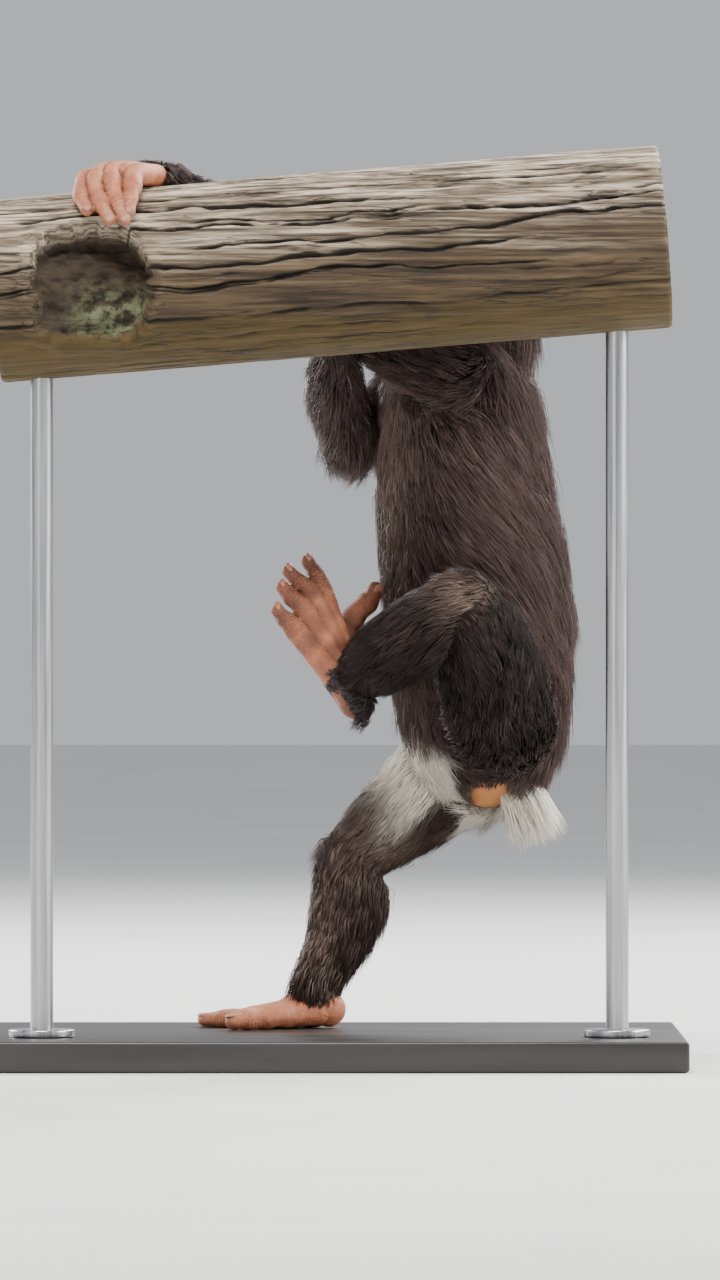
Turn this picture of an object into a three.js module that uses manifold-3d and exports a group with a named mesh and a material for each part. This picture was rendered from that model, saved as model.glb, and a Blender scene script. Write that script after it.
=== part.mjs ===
// A young chimpanzee as a still, life-size display model: the left hand over a cut length of log, the right
// hand behind it, the left foot raised and the right foot on the base. Millimetres, +Z up, the animal faces -X.
import * as THREE from "three";
import { mergeVertices } from "three/addons/utils/BufferGeometryUtils.js";
import Module from "manifold-3d";

const wasm = await Module();
wasm.setup();

// Driving dimensions
const gap = 0.3; // left between neighbouring pieces
const lockGap = 0.8; // the same at a lock, whose faces turn a little as it grows
const baseSize = [560, 356, 24]; // length, width, thickness of the base
const baseTop = baseSize[2];
const logRadius = 73;
const logEnds = [-264, 264]; // along the log, from the point above the base's centre
const logY = -95;
const logZ = 631.5; // height of the log's axis above the base's centre
const logTilt = THREE.MathUtils.degToRad(4.7);
const rodRadius = 9;
const rodX = [-226, 226];
const midY = 58; // the animal's middle plane
const coreShare = 0.5; // how far the solid core fills the coat's depth, the locks making up the rest
const eyeRadius = 9.5;

// Vectors and the two local frames that shapes are laid out in
const vec = (x, y, z) => new THREE.Vector3(x, y, z);
const axisX = vec(1, 0, 0);
const axisY = vec(0, 1, 0);
const axisZ = vec(0, 0, 1);

// The head's own frame: forward, to its left, up
const headSize = 1.05;
const headCentre = vec(107, midY + 2, 645);
const headTurn = THREE.MathUtils.degToRad(12); // away from the log
const headPitch = THREE.MathUtils.degToRad(4); // chin up
const headForward = vec(-Math.cos(headTurn), Math.sin(headTurn), Math.tan(headPitch)).normalize();
const headLeft = new THREE.Vector3().crossVectors(axisZ, headForward).normalize();
const headUp = new THREE.Vector3().crossVectors(headForward, headLeft);
const inHead = (x, y, z) => headCentre.clone().addScaledVector(headForward, x * headSize)
  .addScaledVector(headLeft, y * headSize).addScaledVector(headUp, z * headSize);
const headAxes = [headForward, headLeft, headUp];

// A point over the log: along it, round it from the top towards the viewer in degrees, and above its bark
const logAxis = vec(Math.cos(logTilt), 0, Math.sin(logTilt));
const logUp = vec(-Math.sin(logTilt), 0, Math.cos(logTilt));
function onLog(along, degrees, above) {
  const turn = THREE.MathUtils.degToRad(degrees);
  return vec(0, logY, logZ).addScaledVector(logAxis, along)
    .addScaledVector(logUp, (logRadius + above) * Math.cos(turn))
    .addScaledVector(axisY, -(logRadius + above) * Math.sin(turn));
}

// A repeatable draw from 0 to 1
let seed = 20;
function draw() {
  seed = (seed * 1103515245 + 12345) % 2147483648;
  return seed / 2147483648;
}

// Solids from three.js geometry, joined and cut by manifold-3d
function solid(geometry) {
  const bare = geometry.clone();
  bare.deleteAttribute("normal");
  bare.deleteAttribute("uv");
  const merged = mergeVertices(bare, 1e-3);
  return new wasm.Manifold(new wasm.Mesh({
    numProp: 3,
    vertProperties: merged.attributes.position.array,
    triVerts: new Uint32Array(merged.index.array),
  }));
}

const join = (pieces) => wasm.Manifold.union(pieces);

function geometryOf(manifold) {
  const mesh = manifold.getMesh();
  const geometry = new THREE.BufferGeometry();
  geometry.setAttribute("position", new THREE.BufferAttribute(new Float32Array(mesh.vertProperties), 3));
  geometry.setIndex(new THREE.BufferAttribute(new Uint32Array(mesh.triVerts), 1));
  geometry.computeVertexNormals();
  return geometry;
}

const largest = (manifold) => manifold.decompose().sort((a, b) => b.volume() - a.volume())[0];

// A limb-like solid: oval rings along a smooth curve, with rounded ends.
// A station is [point, half width along the side axis, half width across it].
class Limb {
  constructor(stations, { side = axisY, sides = 12, rings = 3, coat = 0, front = 1, caps = [0.8, 0.8] } = {}) {
    const curve = (points) => new THREE.CatmullRomCurve3(points, false, "catmullrom", 0.5);
    this.path = curve(stations.map((s) => s[0]));
    this.sizes = curve(stations.map((s) => vec(s[1], s[2] ?? s[1], 0)));
    this.ringCount = Math.round((stations.length - 1) * rings);
    Object.assign(this, { side, sides, coat, front, caps });
    this.length = this.path.getLength();
  }

  frame(t) {
    const inside = Math.min(Math.max(t, 0), 1);
    const along = this.path.getTangent(inside);
    const across = this.side.clone().addScaledVector(along, -this.side.dot(along)).normalize();
    const over = new THREE.Vector3().crossVectors(along, across);
    const centre = this.path.getPoint(inside).addScaledVector(along, (t - inside) * this.length);
    return { along, across, over, centre, size: this.sizes.getPoint(inside) };
  }

  // The coat is thinner on the belly side where front is below 1
  depth(angle) {
    return this.coat * (1 - (1 - this.front) * Math.max(0, Math.sin(angle)));
  }

  point(t, angle, above, frame = this.frame(t)) {
    const { across, over, centre, size } = frame;
    return centre.clone().addScaledVector(across, (size.x + above) * Math.cos(angle))
      .addScaledVector(over, (size.y + above) * Math.sin(angle));
  }

  normal(t, angle) {
    const { across, over } = this.frame(t);
    return across.multiplyScalar(Math.cos(angle)).addScaledVector(over, Math.sin(angle));
  }

  // Whether a point lies in the limb's core, or within a margin of it
  holds(point, margin) {
    let nearest = 0;
    let least = Infinity;
    for (let k = 0; k <= 16; k++) {
      const distance = this.path.getPoint(k / 16).distanceTo(point);
      if (distance < least) [nearest, least] = [k / 16, distance];
    }
    const { along, across, over, centre, size } = this.frame(nearest);
    const away = point.clone().sub(centre);
    const core = this.coat * coreShare + margin;
    const ends = this.length / 16 + core;
    return Math.abs(away.dot(along)) < ends
      && Math.hypot(away.dot(across) / (size.x + core), away.dot(over) / (size.y + core)) < 1;
  }

  body(grow = 0) {
    const rings = [];
    const ring = (t, shrink, shift) => {
      const frame = this.frame(t);
      const points = [];
      for (let i = 0; i < this.sides; i++) {
        const angle = (i / this.sides) * 2 * Math.PI;
        const above = this.depth(angle) * coreShare + grow;
        const point = this.point(t, angle, above, frame).sub(frame.centre).multiplyScalar(shrink);
        points.push(point.add(frame.centre).addScaledVector(frame.along, shift));
      }
      return points;
    };
    const capLength = (t, share) => {
      const { size } = this.frame(t);
      return Math.min(size.x, size.y) * share + this.coat * coreShare * share + grow;
    };
    const startCap = capLength(0, this.caps[0]);
    const endCap = capLength(1, this.caps[1]);
    const capTurns = (this.sides > 8 ? [60, 30] : [48]).map(THREE.MathUtils.degToRad);
    capTurns.forEach((a) => rings.push(ring(0, Math.cos(a), -startCap * Math.sin(a))));
    for (let k = 0; k <= this.ringCount; k++) rings.push(ring(k / this.ringCount, 1, 0));
    capTurns.reverse().forEach((a) => rings.push(ring(1, Math.cos(a), endCap * Math.sin(a))));
    const first = this.frame(0);
    const last = this.frame(1);
    return closedRings(rings,
      first.centre.clone().addScaledVector(first.along, -startCap),
      last.centre.clone().addScaledVector(last.along, endCap));
  }
}

// A flat, tapered lock of hair on a limb. Its root is sunk in the flesh at (t, angle), and it bends along the
// coat's lie, turned from the limb's own direction, out to the tips of the coat.
function lock(limb, { t, angle, turn, length, width, rise }, grow = 0) {
  const sections = [
    { share: 0, half: 0.36, height: -4, thick: 3 },
    { share: 0.52, half: 0.5, height: 0.72 * rise, thick: 5 },
  ];
  const place = (share) => {
    const at = t + (length * share * Math.cos(turn)) / limb.length;
    const frame = limb.frame(at);
    const girth = Math.max(12, (frame.size.x + frame.size.y) / 2 + limb.coat / 2);
    return { at, around: angle + (length * share * Math.sin(turn)) / girth, frame };
  };
  const rings = sections.map(({ share, half, height, thick }) => {
    const { at, around, frame } = place(share);
    const reach = limb.depth(around) / limb.coat;
    const spot = (side, lift) => {
      const spread = (side * (half * width + grow)) / Math.max(12, frame.size.x + rise);
      return limb.point(at - spread * Math.sin(turn) * 0.2, around + spread * Math.cos(turn), height * reach + lift, frame);
    };
    return [spot(1, -thick / 2 - grow), spot(-1, -thick / 2 - grow), spot(0, thick / 2 + grow)];
  });
  const tip = place(1 + (4 * grow) / length);
  const root = place(0);
  return closedRings(rings, limb.point(root.at, root.around, -7 - grow, root.frame),
    limb.point(tip.at, tip.around, rise * (limb.depth(tip.around) / limb.coat), tip.frame));
}

// Locks in staggered rows along a limb, each a little unlike its neighbours, left out where another form lies
function coatOf(limb, { from, to, rows, around, turn, length, width, rise = limb.coat }, others) {
  const locks = [];
  for (let row = 0; row < rows; row++) {
    for (let i = 0; i < around; i++) {
      const t = from + ((to - from) * (row + 0.5 * draw() - 0.25)) / Math.max(1, rows - 1);
      const angle = ((i + 0.5 * (row % 2) + 0.3 * (draw() - 0.5)) / around) * 2 * Math.PI;
      const vary = 0.85 + 0.3 * draw();
      const shape = {
        t,
        angle,
        turn: (typeof turn === "function" ? turn(t, angle) : turn) + 0.35 * (draw() - 0.5),
        length: length * vary,
        width: width * (0.9 + 0.2 * draw()),
        rise: (typeof rise === "function" ? rise(t, angle) : rise) * (0.9 + 0.15 * draw()),
      };
      const along = (share) => limb.point(
        t + (shape.length * share * Math.cos(shape.turn)) / limb.length,
        angle + (shape.length * share * Math.sin(shape.turn)) / (limb.frame(t).size.x + 8), limb.coat * 0.5);
      const hidden = others.some((other) => other.holds(along(0), -5) || other.holds(along(0.6), -4));
      if (!hidden) locks.push((grow) => lock(limb, shape, grow));
    }
  }
  return locks;
}

// Rings of equal count, closed by a point at each end
function closedRings(rings, startPoint, endPoint) {
  const sides = rings[0].length;
  const points = [startPoint, ...rings.flat(), endPoint];
  const index = [];
  const at = (ring, i) => 1 + ring * sides + (i % sides);
  const end = points.length - 1;
  for (let i = 0; i < sides; i++) {
    index.push(0, at(0, i + 1), at(0, i), end, at(rings.length - 1, i), at(rings.length - 1, i + 1));
    for (let r = 0; r < rings.length - 1; r++) {
      index.push(at(r, i), at(r, i + 1), at(r + 1, i));
      index.push(at(r, i + 1), at(r + 1, i + 1), at(r + 1, i));
    }
  }
  const geometry = new THREE.BufferGeometry().setFromPoints(points);
  geometry.setIndex(index);
  return solid(geometry);
}

function placed(geometry, centre, axes, scale = [1, 1, 1]) {
  const matrix = new THREE.Matrix4().makeBasis(...axes.map((a, i) => a.clone().multiplyScalar(scale[i])));
  return solid(geometry.applyMatrix4(matrix.setPosition(centre)));
}

function ellipsoid(centre, semi, axes = [axisX, axisY, axisZ], segments = [12, 7]) {
  // The ball's poles lie on its Y axis, and three.js winds it for a right-handed frame
  return placed(new THREE.SphereGeometry(1, ...segments), centre, axes, semi);
}

// One finger or toe with its ray of the palm or sole
function ray(points, radii, side) {
  return new Limb(points.map((p, i) => [p, radii[i]]), { side, sides: 6, rings: 1, caps: [0.9, 0.9] });
}

// Perch
function perchLog(grow = 0) {
  const sides = 25;
  const steps = 4;
  const rings = [];
  for (let k = 0; k <= steps; k++) {
    const along = THREE.MathUtils.lerp(logEnds[0], logEnds[1], k / steps);
    const ring = [];
    for (let i = 0; i < sides; i++) {
      const degrees = (i / sides) * 360;
      const crack = i % 5 === 2 ? 1.8 + Math.sin(i + k * 0.7) : 0;
      const wobble = 0.9 * Math.sin(i * 1.7 + k * 0.6);
      ring.push(onLog(along, degrees, -0.5 - crack + wobble + grow));
    }
    rings.push(ring);
  }
  const log = closedRings(rings, onLog(logEnds[0] - grow, 0, -logRadius), onLog(logEnds[1] + grow, 0, -logRadius));
  return grow ? log : log.subtract(knotHole());
}

// The rotted knot hole on the viewer's side, deepest along its upper edge
function knotHole() {
  const geometry = new THREE.IcosahedronGeometry(1, 2);
  const place = geometry.attributes.position;
  for (let i = 0; i < place.count; i++) {
    const p = vec(place.getX(i), place.getY(i), place.getZ(i));
    const rough = 1 + 0.1 * Math.sin(7 * p.x + 3 * p.z) * Math.cos(5 * p.z - 4 * p.y);
    place.setXYZ(i, p.x * rough, p.y * rough, p.z * rough);
  }
  return placed(geometry, onLog(-188, 90, -6), [logAxis, axisY, logUp], [44, 34, 41]);
}

// Stand
function standBase(grow = 0) {
  const corner = 14;
  const bevel = 3;
  const [length, width, thickness] = baseSize;
  const half = [length / 2 - bevel, width / 2 - bevel];
  const shape = new THREE.Shape();
  shape.moveTo(-half[0] + corner, -half[1]);
  shape.absarc(half[0] - corner, -half[1] + corner, corner, -Math.PI / 2, 0);
  shape.absarc(half[0] - corner, half[1] - corner, corner, 0, Math.PI / 2);
  shape.absarc(-half[0] + corner, half[1] - corner, corner, Math.PI / 2, Math.PI);
  shape.absarc(-half[0] + corner, -half[1] + corner, corner, Math.PI, 1.5 * Math.PI);
  const geometry = new THREE.ExtrudeGeometry(shape, {
    depth: thickness - 2 * bevel,
    bevelSize: bevel,
    bevelThickness: bevel,
    bevelSegments: 1,
    curveSegments: 3,
  });
  return solid(geometry.translate(0, 0, bevel + grow));
}

function standRod(x) {
  const flange = 26;
  const flangeHeight = 6;
  const foot = baseTop + gap;
  const top = logZ + x * Math.tan(logTilt) - logRadius / 2;
  const profile = [
    [0, foot], [flange, foot], [flange, foot + flangeHeight - 2], [flange - 2, foot + flangeHeight],
    [rodRadius + 4, foot + flangeHeight], [rodRadius, foot + flangeHeight + 4], [rodRadius, top], [0, top],
  ].map(([r, z]) => new THREE.Vector2(r, z));
  const geometry = new THREE.LatheGeometry(profile, 12).rotateX(Math.PI / 2);
  return solid(geometry.translate(x, logY, 0));
}

// Trunk of the body
const torso = new Limb([
  [vec(126, midY + 4, 212), 20, 18],
  [vec(126, midY + 3, 222), 36, 36],
  [vec(125, midY + 2, 240), 48, 47],
  [vec(123, midY + 1, 266), 57, 57],
  [vec(121, midY, 302), 62, 63],
  [vec(118, midY, 352), 67, 67],
  [vec(112, midY, 408), 69, 66],
  [vec(106, midY, 460), 68, 62],
  [vec(103, midY, 508), 67, 57],
  [vec(102, midY, 546), 62, 51],
  [vec(103, midY, 574), 46, 42],
], { sides: 18, rings: 1.2, coat: 14, front: 0.6, caps: [0.6, 0.5] });

const neck = new Limb([
  [vec(106, midY, 556), 42, 44],
  [vec(109, midY, 584), 39, 42],
  [vec(113, midY + 1, 612), 39, 42],
], { sides: 16, rings: 1, coat: 16, front: 0.5, caps: [0.2, 0.3] });

// Arms, from the shoulder down to the wrist
const upperArmLeft = new Limb([
  [vec(98, 22, 546), 30],
  [vec(88, -2, 554), 29],
  [vec(52, 5, 578), 24],
  [vec(14, 12, 606), 20.5],
  [vec(-24, 18, 636), 17.5],
], { side: axisZ, rings: 1.5, coat: 10 });

const forearmLeft = new Limb([
  [vec(-24, 18, 636), 17],
  [vec(-50, 2, 656), 17.5],
  [vec(-84, -22, 676), 14.5],
  [onLog(-116, -27, 12.5), 12, 10.5],
], { side: axisY, rings: 2, coat: 8, caps: [0.8, 0.3] });

const upperArmRight = new Limb([
  [vec(100, 98, 554), 30],
  [vec(92, 118, 556), 28],
  [vec(66, 106, 534), 24],
  [vec(42, 90, 512), 21],
  [vec(18, 72, 494), 18],
], { side: axisZ, rings: 1.5, coat: 10 });

const forearmRight = new Limb([
  [vec(18, 72, 494), 17.5],
  [vec(8, 48, 518), 18],
  [vec(4, 14, 548), 15.5],
  [onLog(0, -127, 13), 12, 10.5],
], { side: axisX, rings: 2, coat: 8, caps: [0.8, 0.3] });

// Legs, from the hip down to the ankle
const thighLeft = new Limb([
  [vec(128, 36, 268), 40],
  [vec(133, 12, 274), 40],
  [vec(125, -26, 320), 34],
  [vec(108, -60, 368), 22],
], { side: axisX, rings: 2, coat: 9 });

const shinLeft = new Limb([
  [vec(106, -61, 367), 19],
  [vec(80, -54, 346), 26],
  [vec(50, -40, 326), 25],
  [vec(26, -28, 311), 18],
  [vec(14, -22, 304), 15],
], { side: axisY, rings: 1.5, coat: 12, caps: [0.8, 0.2] });

const thighRight = new Limb([
  [vec(124, 90, 262), 38],
  [vec(104, 97, 234), 38],
  [vec(62, 94, 198), 30],
  [vec(18, 90, 162), 22],
], { side: axisY, rings: 2, coat: 9 });

const shinRight = new Limb([
  [vec(18, 90, 161), 21],
  [vec(17, 86, 134), 24],
  [vec(7, 78, 98), 19],
  [vec(-8, 69, 66), 14],
  [vec(-12, 66, 50), 13.5],
], { side: axisY, rings: 1.5, coat: 11, caps: [0.8, 0.2] });

// Hands: each ray runs from the wrist through the knuckles to the tip, as [along, degrees, above] on the log
const fingerRadii = [10, 8.4, 6.8, 6.1, 5];
const thumbRadii = [9, 8, 6.6, 5.4];
const leftRays = [
  [[-114, -30, 11], [-165, -14, 12], [-184, 14, 11], [-189, 34, 8], [-185, 46, 6.5]],
  [[-115, -27, 12], [-165, -3, 13.5], [-177, 23, 12], [-174, 42, 8], [-168, 55, 6.5]],
  [[-116, -24, 12], [-158, 7, 13], [-164, 28, 11], [-160, 45, 8], [-156, 56, 6.5]],
  [[-116, -21, 11], [-144, 15, 11], [-148, 31, 9], [-151, 42, 7.5], [-152, 50, 6.5]],
  [[-116, -33, 10], [-134, -46, 10], [-150, -53, 8], [-161, -56, 7]],
];
const rightRays = [
  [[5, -122, 12], [17, -89, 12], [21, -68, 11], [22, -55, 8], [22, -46, 6.5]],
  [[2, -124, 12], [5, -87, 13], [6, -65, 11], [7, -51, 8], [8, -42, 6.5]],
  [[-1, -124, 12], [-8, -89, 12], [-9, -68, 11], [-8, -54, 8], [-6, -45, 6.5]],
  [[-4, -122, 11], [-20, -94, 11], [-23, -77, 9], [-23, -66, 7.5], [-21, -58, 6.5]],
  [[5, -128, 11], [23, -124, 10], [37, -117, 8], [46, -112, 7]],
];

function hand(rays, palmAt, palmHalves, side) {
  const radii = (count) => (count === fingerRadii.length ? fingerRadii : thumbRadii);
  const fingers = rays.map((r) => ray(r.map((p) => onLog(...p)), radii(r.length), side));
  const palm = ellipsoid(onLog(...palmAt), palmHalves, [logAxis, axisY, logUp], [8, 5]);
  return (grow) => [...fingers.map((f) => f.body(grow)), palm];
}
const handLeft = hand(leftRays, [-142, -9, 7], [23, 17, 12], axisY);
const handRight = hand(rightRays, [-2, -105, 8], [20, 12, 18], axisX);

// Feet: rays from the heel through the ball to the tip of each toe
const toeRadii = [13, 8.4, 6.6, 5.6];
const bigToeRadii = [12, 10, 9.4, 8.6, 7];
const leftToes = [
  [vec(16, -14, 303), vec(-6, 3, 374), vec(-12, 4, 389), vec(-18, 5, 399)],
  [vec(16, -18, 302), vec(-13, -7, 368), vec(-25, -6, 382), vec(-33, -5, 391)],
  [vec(16, -22, 299), vec(-19, -16, 357), vec(-31, -15, 370), vec(-38, -14, 378)],
  [vec(16, -26, 295), vec(-26, -24, 342), vec(-36, -23, 353), vec(-42, -22, 360)],
  [vec(12, -10, 300), vec(10, 8, 334), vec(18, 15, 353), vec(30, 18, 366), vec(36, 18, 376)],
];
const rightToes = [
  [vec(-16, 62, 39), vec(-62, 68, 33), vec(-86, 74, 31), vec(-101, 78, 29.6)],
  [vec(-16, 66, 39), vec(-60, 79, 33), vec(-86, 87, 31), vec(-102, 92, 29.6)],
  [vec(-14, 70, 38), vec(-56, 89, 32.6), vec(-80, 99, 30.8), vec(-95, 105, 29.6)],
  [vec(-12, 74, 37), vec(-48, 97, 32.4), vec(-70, 109, 30.6), vec(-83, 116, 29.6)],
  [vec(-10, 60, 38), vec(-34, 50, 35), vec(-52, 40, 33.6), vec(-68, 29, 32.6), vec(-77, 22, 31)],
];

function foot(toes, heelPoints, side) {
  const rays = toes.map((t) => ray(t, t.length === 5 ? bigToeRadii : toeRadii, side));
  const heel = new Limb(heelPoints, { side, sides: 10, rings: 1, caps: [0.9, 0.9] });
  return (grow) => [...rays, heel].map((r) => r.body(grow));
}
const footLeft = foot(leftToes, [[vec(21, -18, 286), 14], [vec(12, -19, 304), 15], [vec(4, -16, 322), 12]], axisY);
const footRight = foot(rightToes, [[vec(0, 66, 38), 14], [vec(-14, 66, 44), 15], [vec(-32, 70, 38), 12]], axisY);

// Head, laid out in its own frame
const headLimb = (stations, options) => new Limb(
  stations.map(([p, ...halves]) => [inHead(...p), ...halves.map((r) => r * headSize)]),
  { side: headLeft, ...options });

const cranium = headLimb([
  [[36, 0, 7], 26, 26],
  [[28, 0, 7], 38, 36],
  [[14, 0, 8], 46, 44],
  [[-8, 0, 8], 49, 47],
  [[-30, 0, 6], 44, 43],
  [[-48, 0, 3], 29, 29],
], { sides: 14, rings: 1, coat: 7, caps: [0.4, 0.6] });

function headForm(grow = 0) {
  const lid = (sign, lift) => headLimb([
    [[40, sign * 9.5, 2], 2],
    [[45.5, sign * 14.5, 2 + lift * 0.8], 2.6],
    [[46, sign * 20.5, 2 + lift], 2.8],
    [[42, sign * 26.5, 3 + lift * 0.7], 2.6],
    [[36, sign * 30, 3], 2],
  ], { side: headUp, sides: 5, rings: 1 });
  const lip = (reach, height, radius) => headLimb([
    [[reach - 27, -24, height + 2], radius * 0.7],
    [[reach - 9, -17, height], radius],
    [[reach, 0, height], radius],
    [[reach - 9, 17, height], radius],
    [[reach - 27, 24, height + 2], radius * 0.7],
  ], { side: headUp, sides: 5, rings: 1 });
  const brow = headLimb([
    [[24, -38, 9], 5],
    [[40, -23, 15], 6],
    [[46, 0, 14], 5.4],
    [[40, 23, 15], 6],
    [[24, 38, 9], 5],
  ], { side: headUp, sides: 5, rings: 1 });
  const muzzle = headLimb([
    [[24, 0, -18], 30, 26],
    [[44, 0, -22], 26, 20],
    [[60, 0, -25], 21, 16],
    [[69, 0, -27], 14, 11],
  ], { sides: 10, rings: 1, caps: [0.3, 0.7] });
  const jaw = headLimb([
    [[4, 0, -34], 31, 15],
    [[28, 0, -39], 27, 12],
    [[50, 0, -41], 20, 9.5],
    [[62, 0, -41], 12, 7],
  ], { sides: 8, rings: 1, caps: [0.5, 0.8] });
  const nose = headLimb([
    [[45, 0, 7], 5, 4],
    [[53, 0, -3], 6.5, 5],
    [[62, 0, -11], 10, 6],
    [[66, 0, -16], 9, 5],
  ], { sides: 8, rings: 1 });
  const body = (limb) => limb.body(grow);
  const cheeks = [-1, 1].map((sign) => ellipsoid(inHead(26, sign * 24, -11), [18, 16, 18], headAxes, [8, 5]));
  const face = join([...[cranium, brow, muzzle, jaw, nose, lip(71, -32.5, 4.4), lip(67, -40, 4.2)].map(body), ...cheeks]);
  const lids = [-1, 1].flatMap((sign) => [lid(sign, 6.4), lid(sign, -5.4)]).map(body);
  const orbits = [-1, 1].map((sign) => ellipsoid(inHead(53, sign * 20, 2.6), [12, 10, 7], headAxes, [8, 5]));
  const nostrils = [-1, 1].map((sign) => ellipsoid(inHead(71, sign * 5, -16), [6, 2.8, 3.4], headAxes, [8, 5]));
  const mouth = headLimb([
    [[46, -25, -34], 0.7, 6],
    [[66, -16, -36.4], 0.7, 8],
    [[76, 0, -36.6], 0.7, 8],
    [[66, 16, -36.4], 0.7, 8],
    [[46, 25, -34], 0.7, 6],
  ], { side: headUp, sides: 6, rings: 1 });
  return join([face.subtract(join(orbits)), ...lids]).subtract(join([mouth.body(), ...nostrils]));
}

const eye = (sign, grow = 0) => {
  const radius = eyeRadius + grow;
  return ellipsoid(inHead(36.5, sign * 19.5, 2.4), [radius, radius, radius], headAxes);
};

// An ear: a hollowed dish on a short root, its front edge on the side of the head
function ear(sign, grow = 0) {
  const out = vec(0.45, sign * 0.89, 0);
  const back = vec(-0.89, sign * 0.45, 0);
  const turned = (v) => headForward.clone().multiplyScalar(v.x).addScaledVector(headLeft, v.y);
  const axes = [turned(back), headUp, turned(out)];
  if (sign < 0) axes[0].negate();
  const centre = inHead(-13, sign * 55, 3);
  const outward = (amount) => centre.clone().addScaledVector(turned(out), amount);
  const dish = ellipsoid(centre, [19 + grow, 27 + grow, 6 + grow], axes, [12, 6]);
  const cup = ellipsoid(outward(5.5), [14, 21, 6.5], axes, [10, 6]);
  const root = ellipsoid(inHead(0, sign * 46, 2), [9, 8, 13], headAxes, [8, 5]);
  return join([dish, root]).subtract(cup);
}

// White tuft of hair over the rump: locks that fan out from one root
function rumpTuft(grow = 0) {
  const locks = [];
  for (let i = 0; i < 7; i++) {
    const spread = (i - 3) / 3;
    const lift = (i % 3) - 1;
    const reach = 1 - 0.12 * Math.abs(spread) - 0.05 * lift;
    const start = vec(142 + 3 * lift, midY + 1 + spread * 12, 231 + 4 * lift);
    const end = vec(171 + 15 * lift, midY + spread * 24, 173 + 3 * lift).sub(start).multiplyScalar(reach).add(start);
    const middle = start.clone().lerp(end, 0.55).add(vec(5, spread * 2, 4));
    const hair = new Limb([[start, 7, 5.5], [middle, 11, 5.5], [end, 3, 1.6]], { sides: 5, rings: 1, caps: [0.6, 1] });
    locks.push(hair.body(grow));
  }
  return locks;
}

// The coat in locks: rows along each form, and how they lie. A turn of 0 runs along the limb, of pi back along it.
const limbs = {
  torso, neck, cranium, upperArmLeft, forearmLeft, upperArmRight, forearmRight,
  thighLeft, shinLeft, thighRight, shinRight,
};
const back = Math.PI;
const coats = {
  torso: [torso, { from: 0.2, to: 0.97, rows: 6, around: 9, turn: back, length: 78, width: 43 }],
  neck: [neck, { from: 0.3, to: 0.95, rows: 2, around: 10, turn: back, length: 56, width: 27,
    rise: (t, angle) => 16 + 5 * Math.max(0, -Math.sin(angle)) }],
  head: [cranium, { from: 0.38, to: 0.78, rows: 2, around: 8, turn: 0, length: 34, width: 30 }],
  upper_arm_left: [upperArmLeft, { from: 0.12, to: 0.56, rows: 2, around: 5, turn: 0, length: 60, width: 33 }],
  forearm_left: [forearmLeft, { from: 0.46, to: 0.88, rows: 2, around: 4, turn: back, length: 46, width: 24 }],
  upper_arm_right: [upperArmRight, { from: 0.1, to: 0.44, rows: 2, around: 5, turn: 0, length: 52, width: 33 }],
  forearm_right: [forearmRight, { from: 0.36, to: 0.85, rows: 2, around: 4, turn: back, length: 44, width: 24 }],
  thigh_left: [thighLeft, { from: 0.08, to: 0.6, rows: 3, around: 6, turn: 0, length: 50, width: 31 }],
  shin_left: [shinLeft, { from: 0.14, to: 0.52, rows: 2, around: 6, turn: 0, length: 48, width: 32 }],
  thigh_right: [thighRight, { from: 0.1, to: 0.62, rows: 3, around: 5, turn: 0, length: 50, width: 30 }],
  shin_right: [shinRight, { from: 0.14, to: 0.6, rows: 2, around: 5, turn: 0, length: 50, width: 29 }],
};

// Colours as seen on the animal, the log and a plain stand
const finish = (color, roughness, metalness = 0) => new THREE.MeshStandardMaterial({ color, roughness, metalness });
const finishes = {
  darkCoat: finish(0x2c2423, 0.8),
  whiteCoat: finish(0xf0ece0, 0.8),
  paleSkin: finish(0xc98a68, 0.55),
  eyes: finish(0x2a150b, 0.15),
  wood: finish(0x6d5a45, 0.85),
  stand: finish(0x26282b, 0.4, 0.1),
  steel: finish(0x9a9ca0, 0.35, 0.9),
};

// Every node in turn, by the group it belongs to: each form is cut clear of those that stand before it
const nodes = [
  ["stand", "perch_log", "wood", (grow) => [perchLog(grow)]],
  ["stand", "stand_base", "stand", (grow) => [standBase(grow)]],
  ["stand", "stand_rod_left", "steel", () => [standRod(rodX[0])]],
  ["stand", "stand_rod_right", "steel", () => [standRod(rodX[1])]],
  ["trunk", "torso", "darkCoat", (grow) => [torso.body(grow)]],
  ["trunk", "neck", "darkCoat", (grow) => [neck.body(grow)]],
  ["head", "eye_left", "eyes", (grow) => [eye(1, grow)]],
  ["head", "eye_right", "eyes", (grow) => [eye(-1, grow)]],
  ["head", "head", "darkCoat", (grow) => [headForm(grow)]],
  ["head", "ear_left", "paleSkin", (grow) => [ear(1, grow)]],
  ["head", "ear_right", "paleSkin", (grow) => [ear(-1, grow)]],
  ["left arm", "upper_arm_left", "darkCoat", (grow) => [upperArmLeft.body(grow)]],
  ["left arm", "forearm_left", "darkCoat", (grow) => [forearmLeft.body(grow)]],
  ["left arm", "hand_left", "paleSkin", (grow) => handLeft(grow)],
  ["right arm", "upper_arm_right", "darkCoat", (grow) => [upperArmRight.body(grow)]],
  ["right arm", "forearm_right", "darkCoat", (grow) => [forearmRight.body(grow)]],
  ["right arm", "hand_right", "paleSkin", (grow) => handRight(grow)],
  ["left leg", "thigh_left", "darkCoat", (grow) => [thighLeft.body(grow)]],
  ["left leg", "shin_left", "darkCoat", (grow) => [shinLeft.body(grow)]],
  ["left leg", "foot_left", "paleSkin", (grow) => footLeft(grow)],
  ["right leg", "thigh_right", "darkCoat", (grow) => [thighRight.body(grow)]],
  ["right leg", "shin_right", "darkCoat", (grow) => [shinRight.body(grow)]],
  ["right leg", "foot_right", "paleSkin", (grow) => footRight(grow)],
  ["trunk", "rump_tuft", "whiteCoat", (grow) => rumpTuft(grow)],
];

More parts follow.
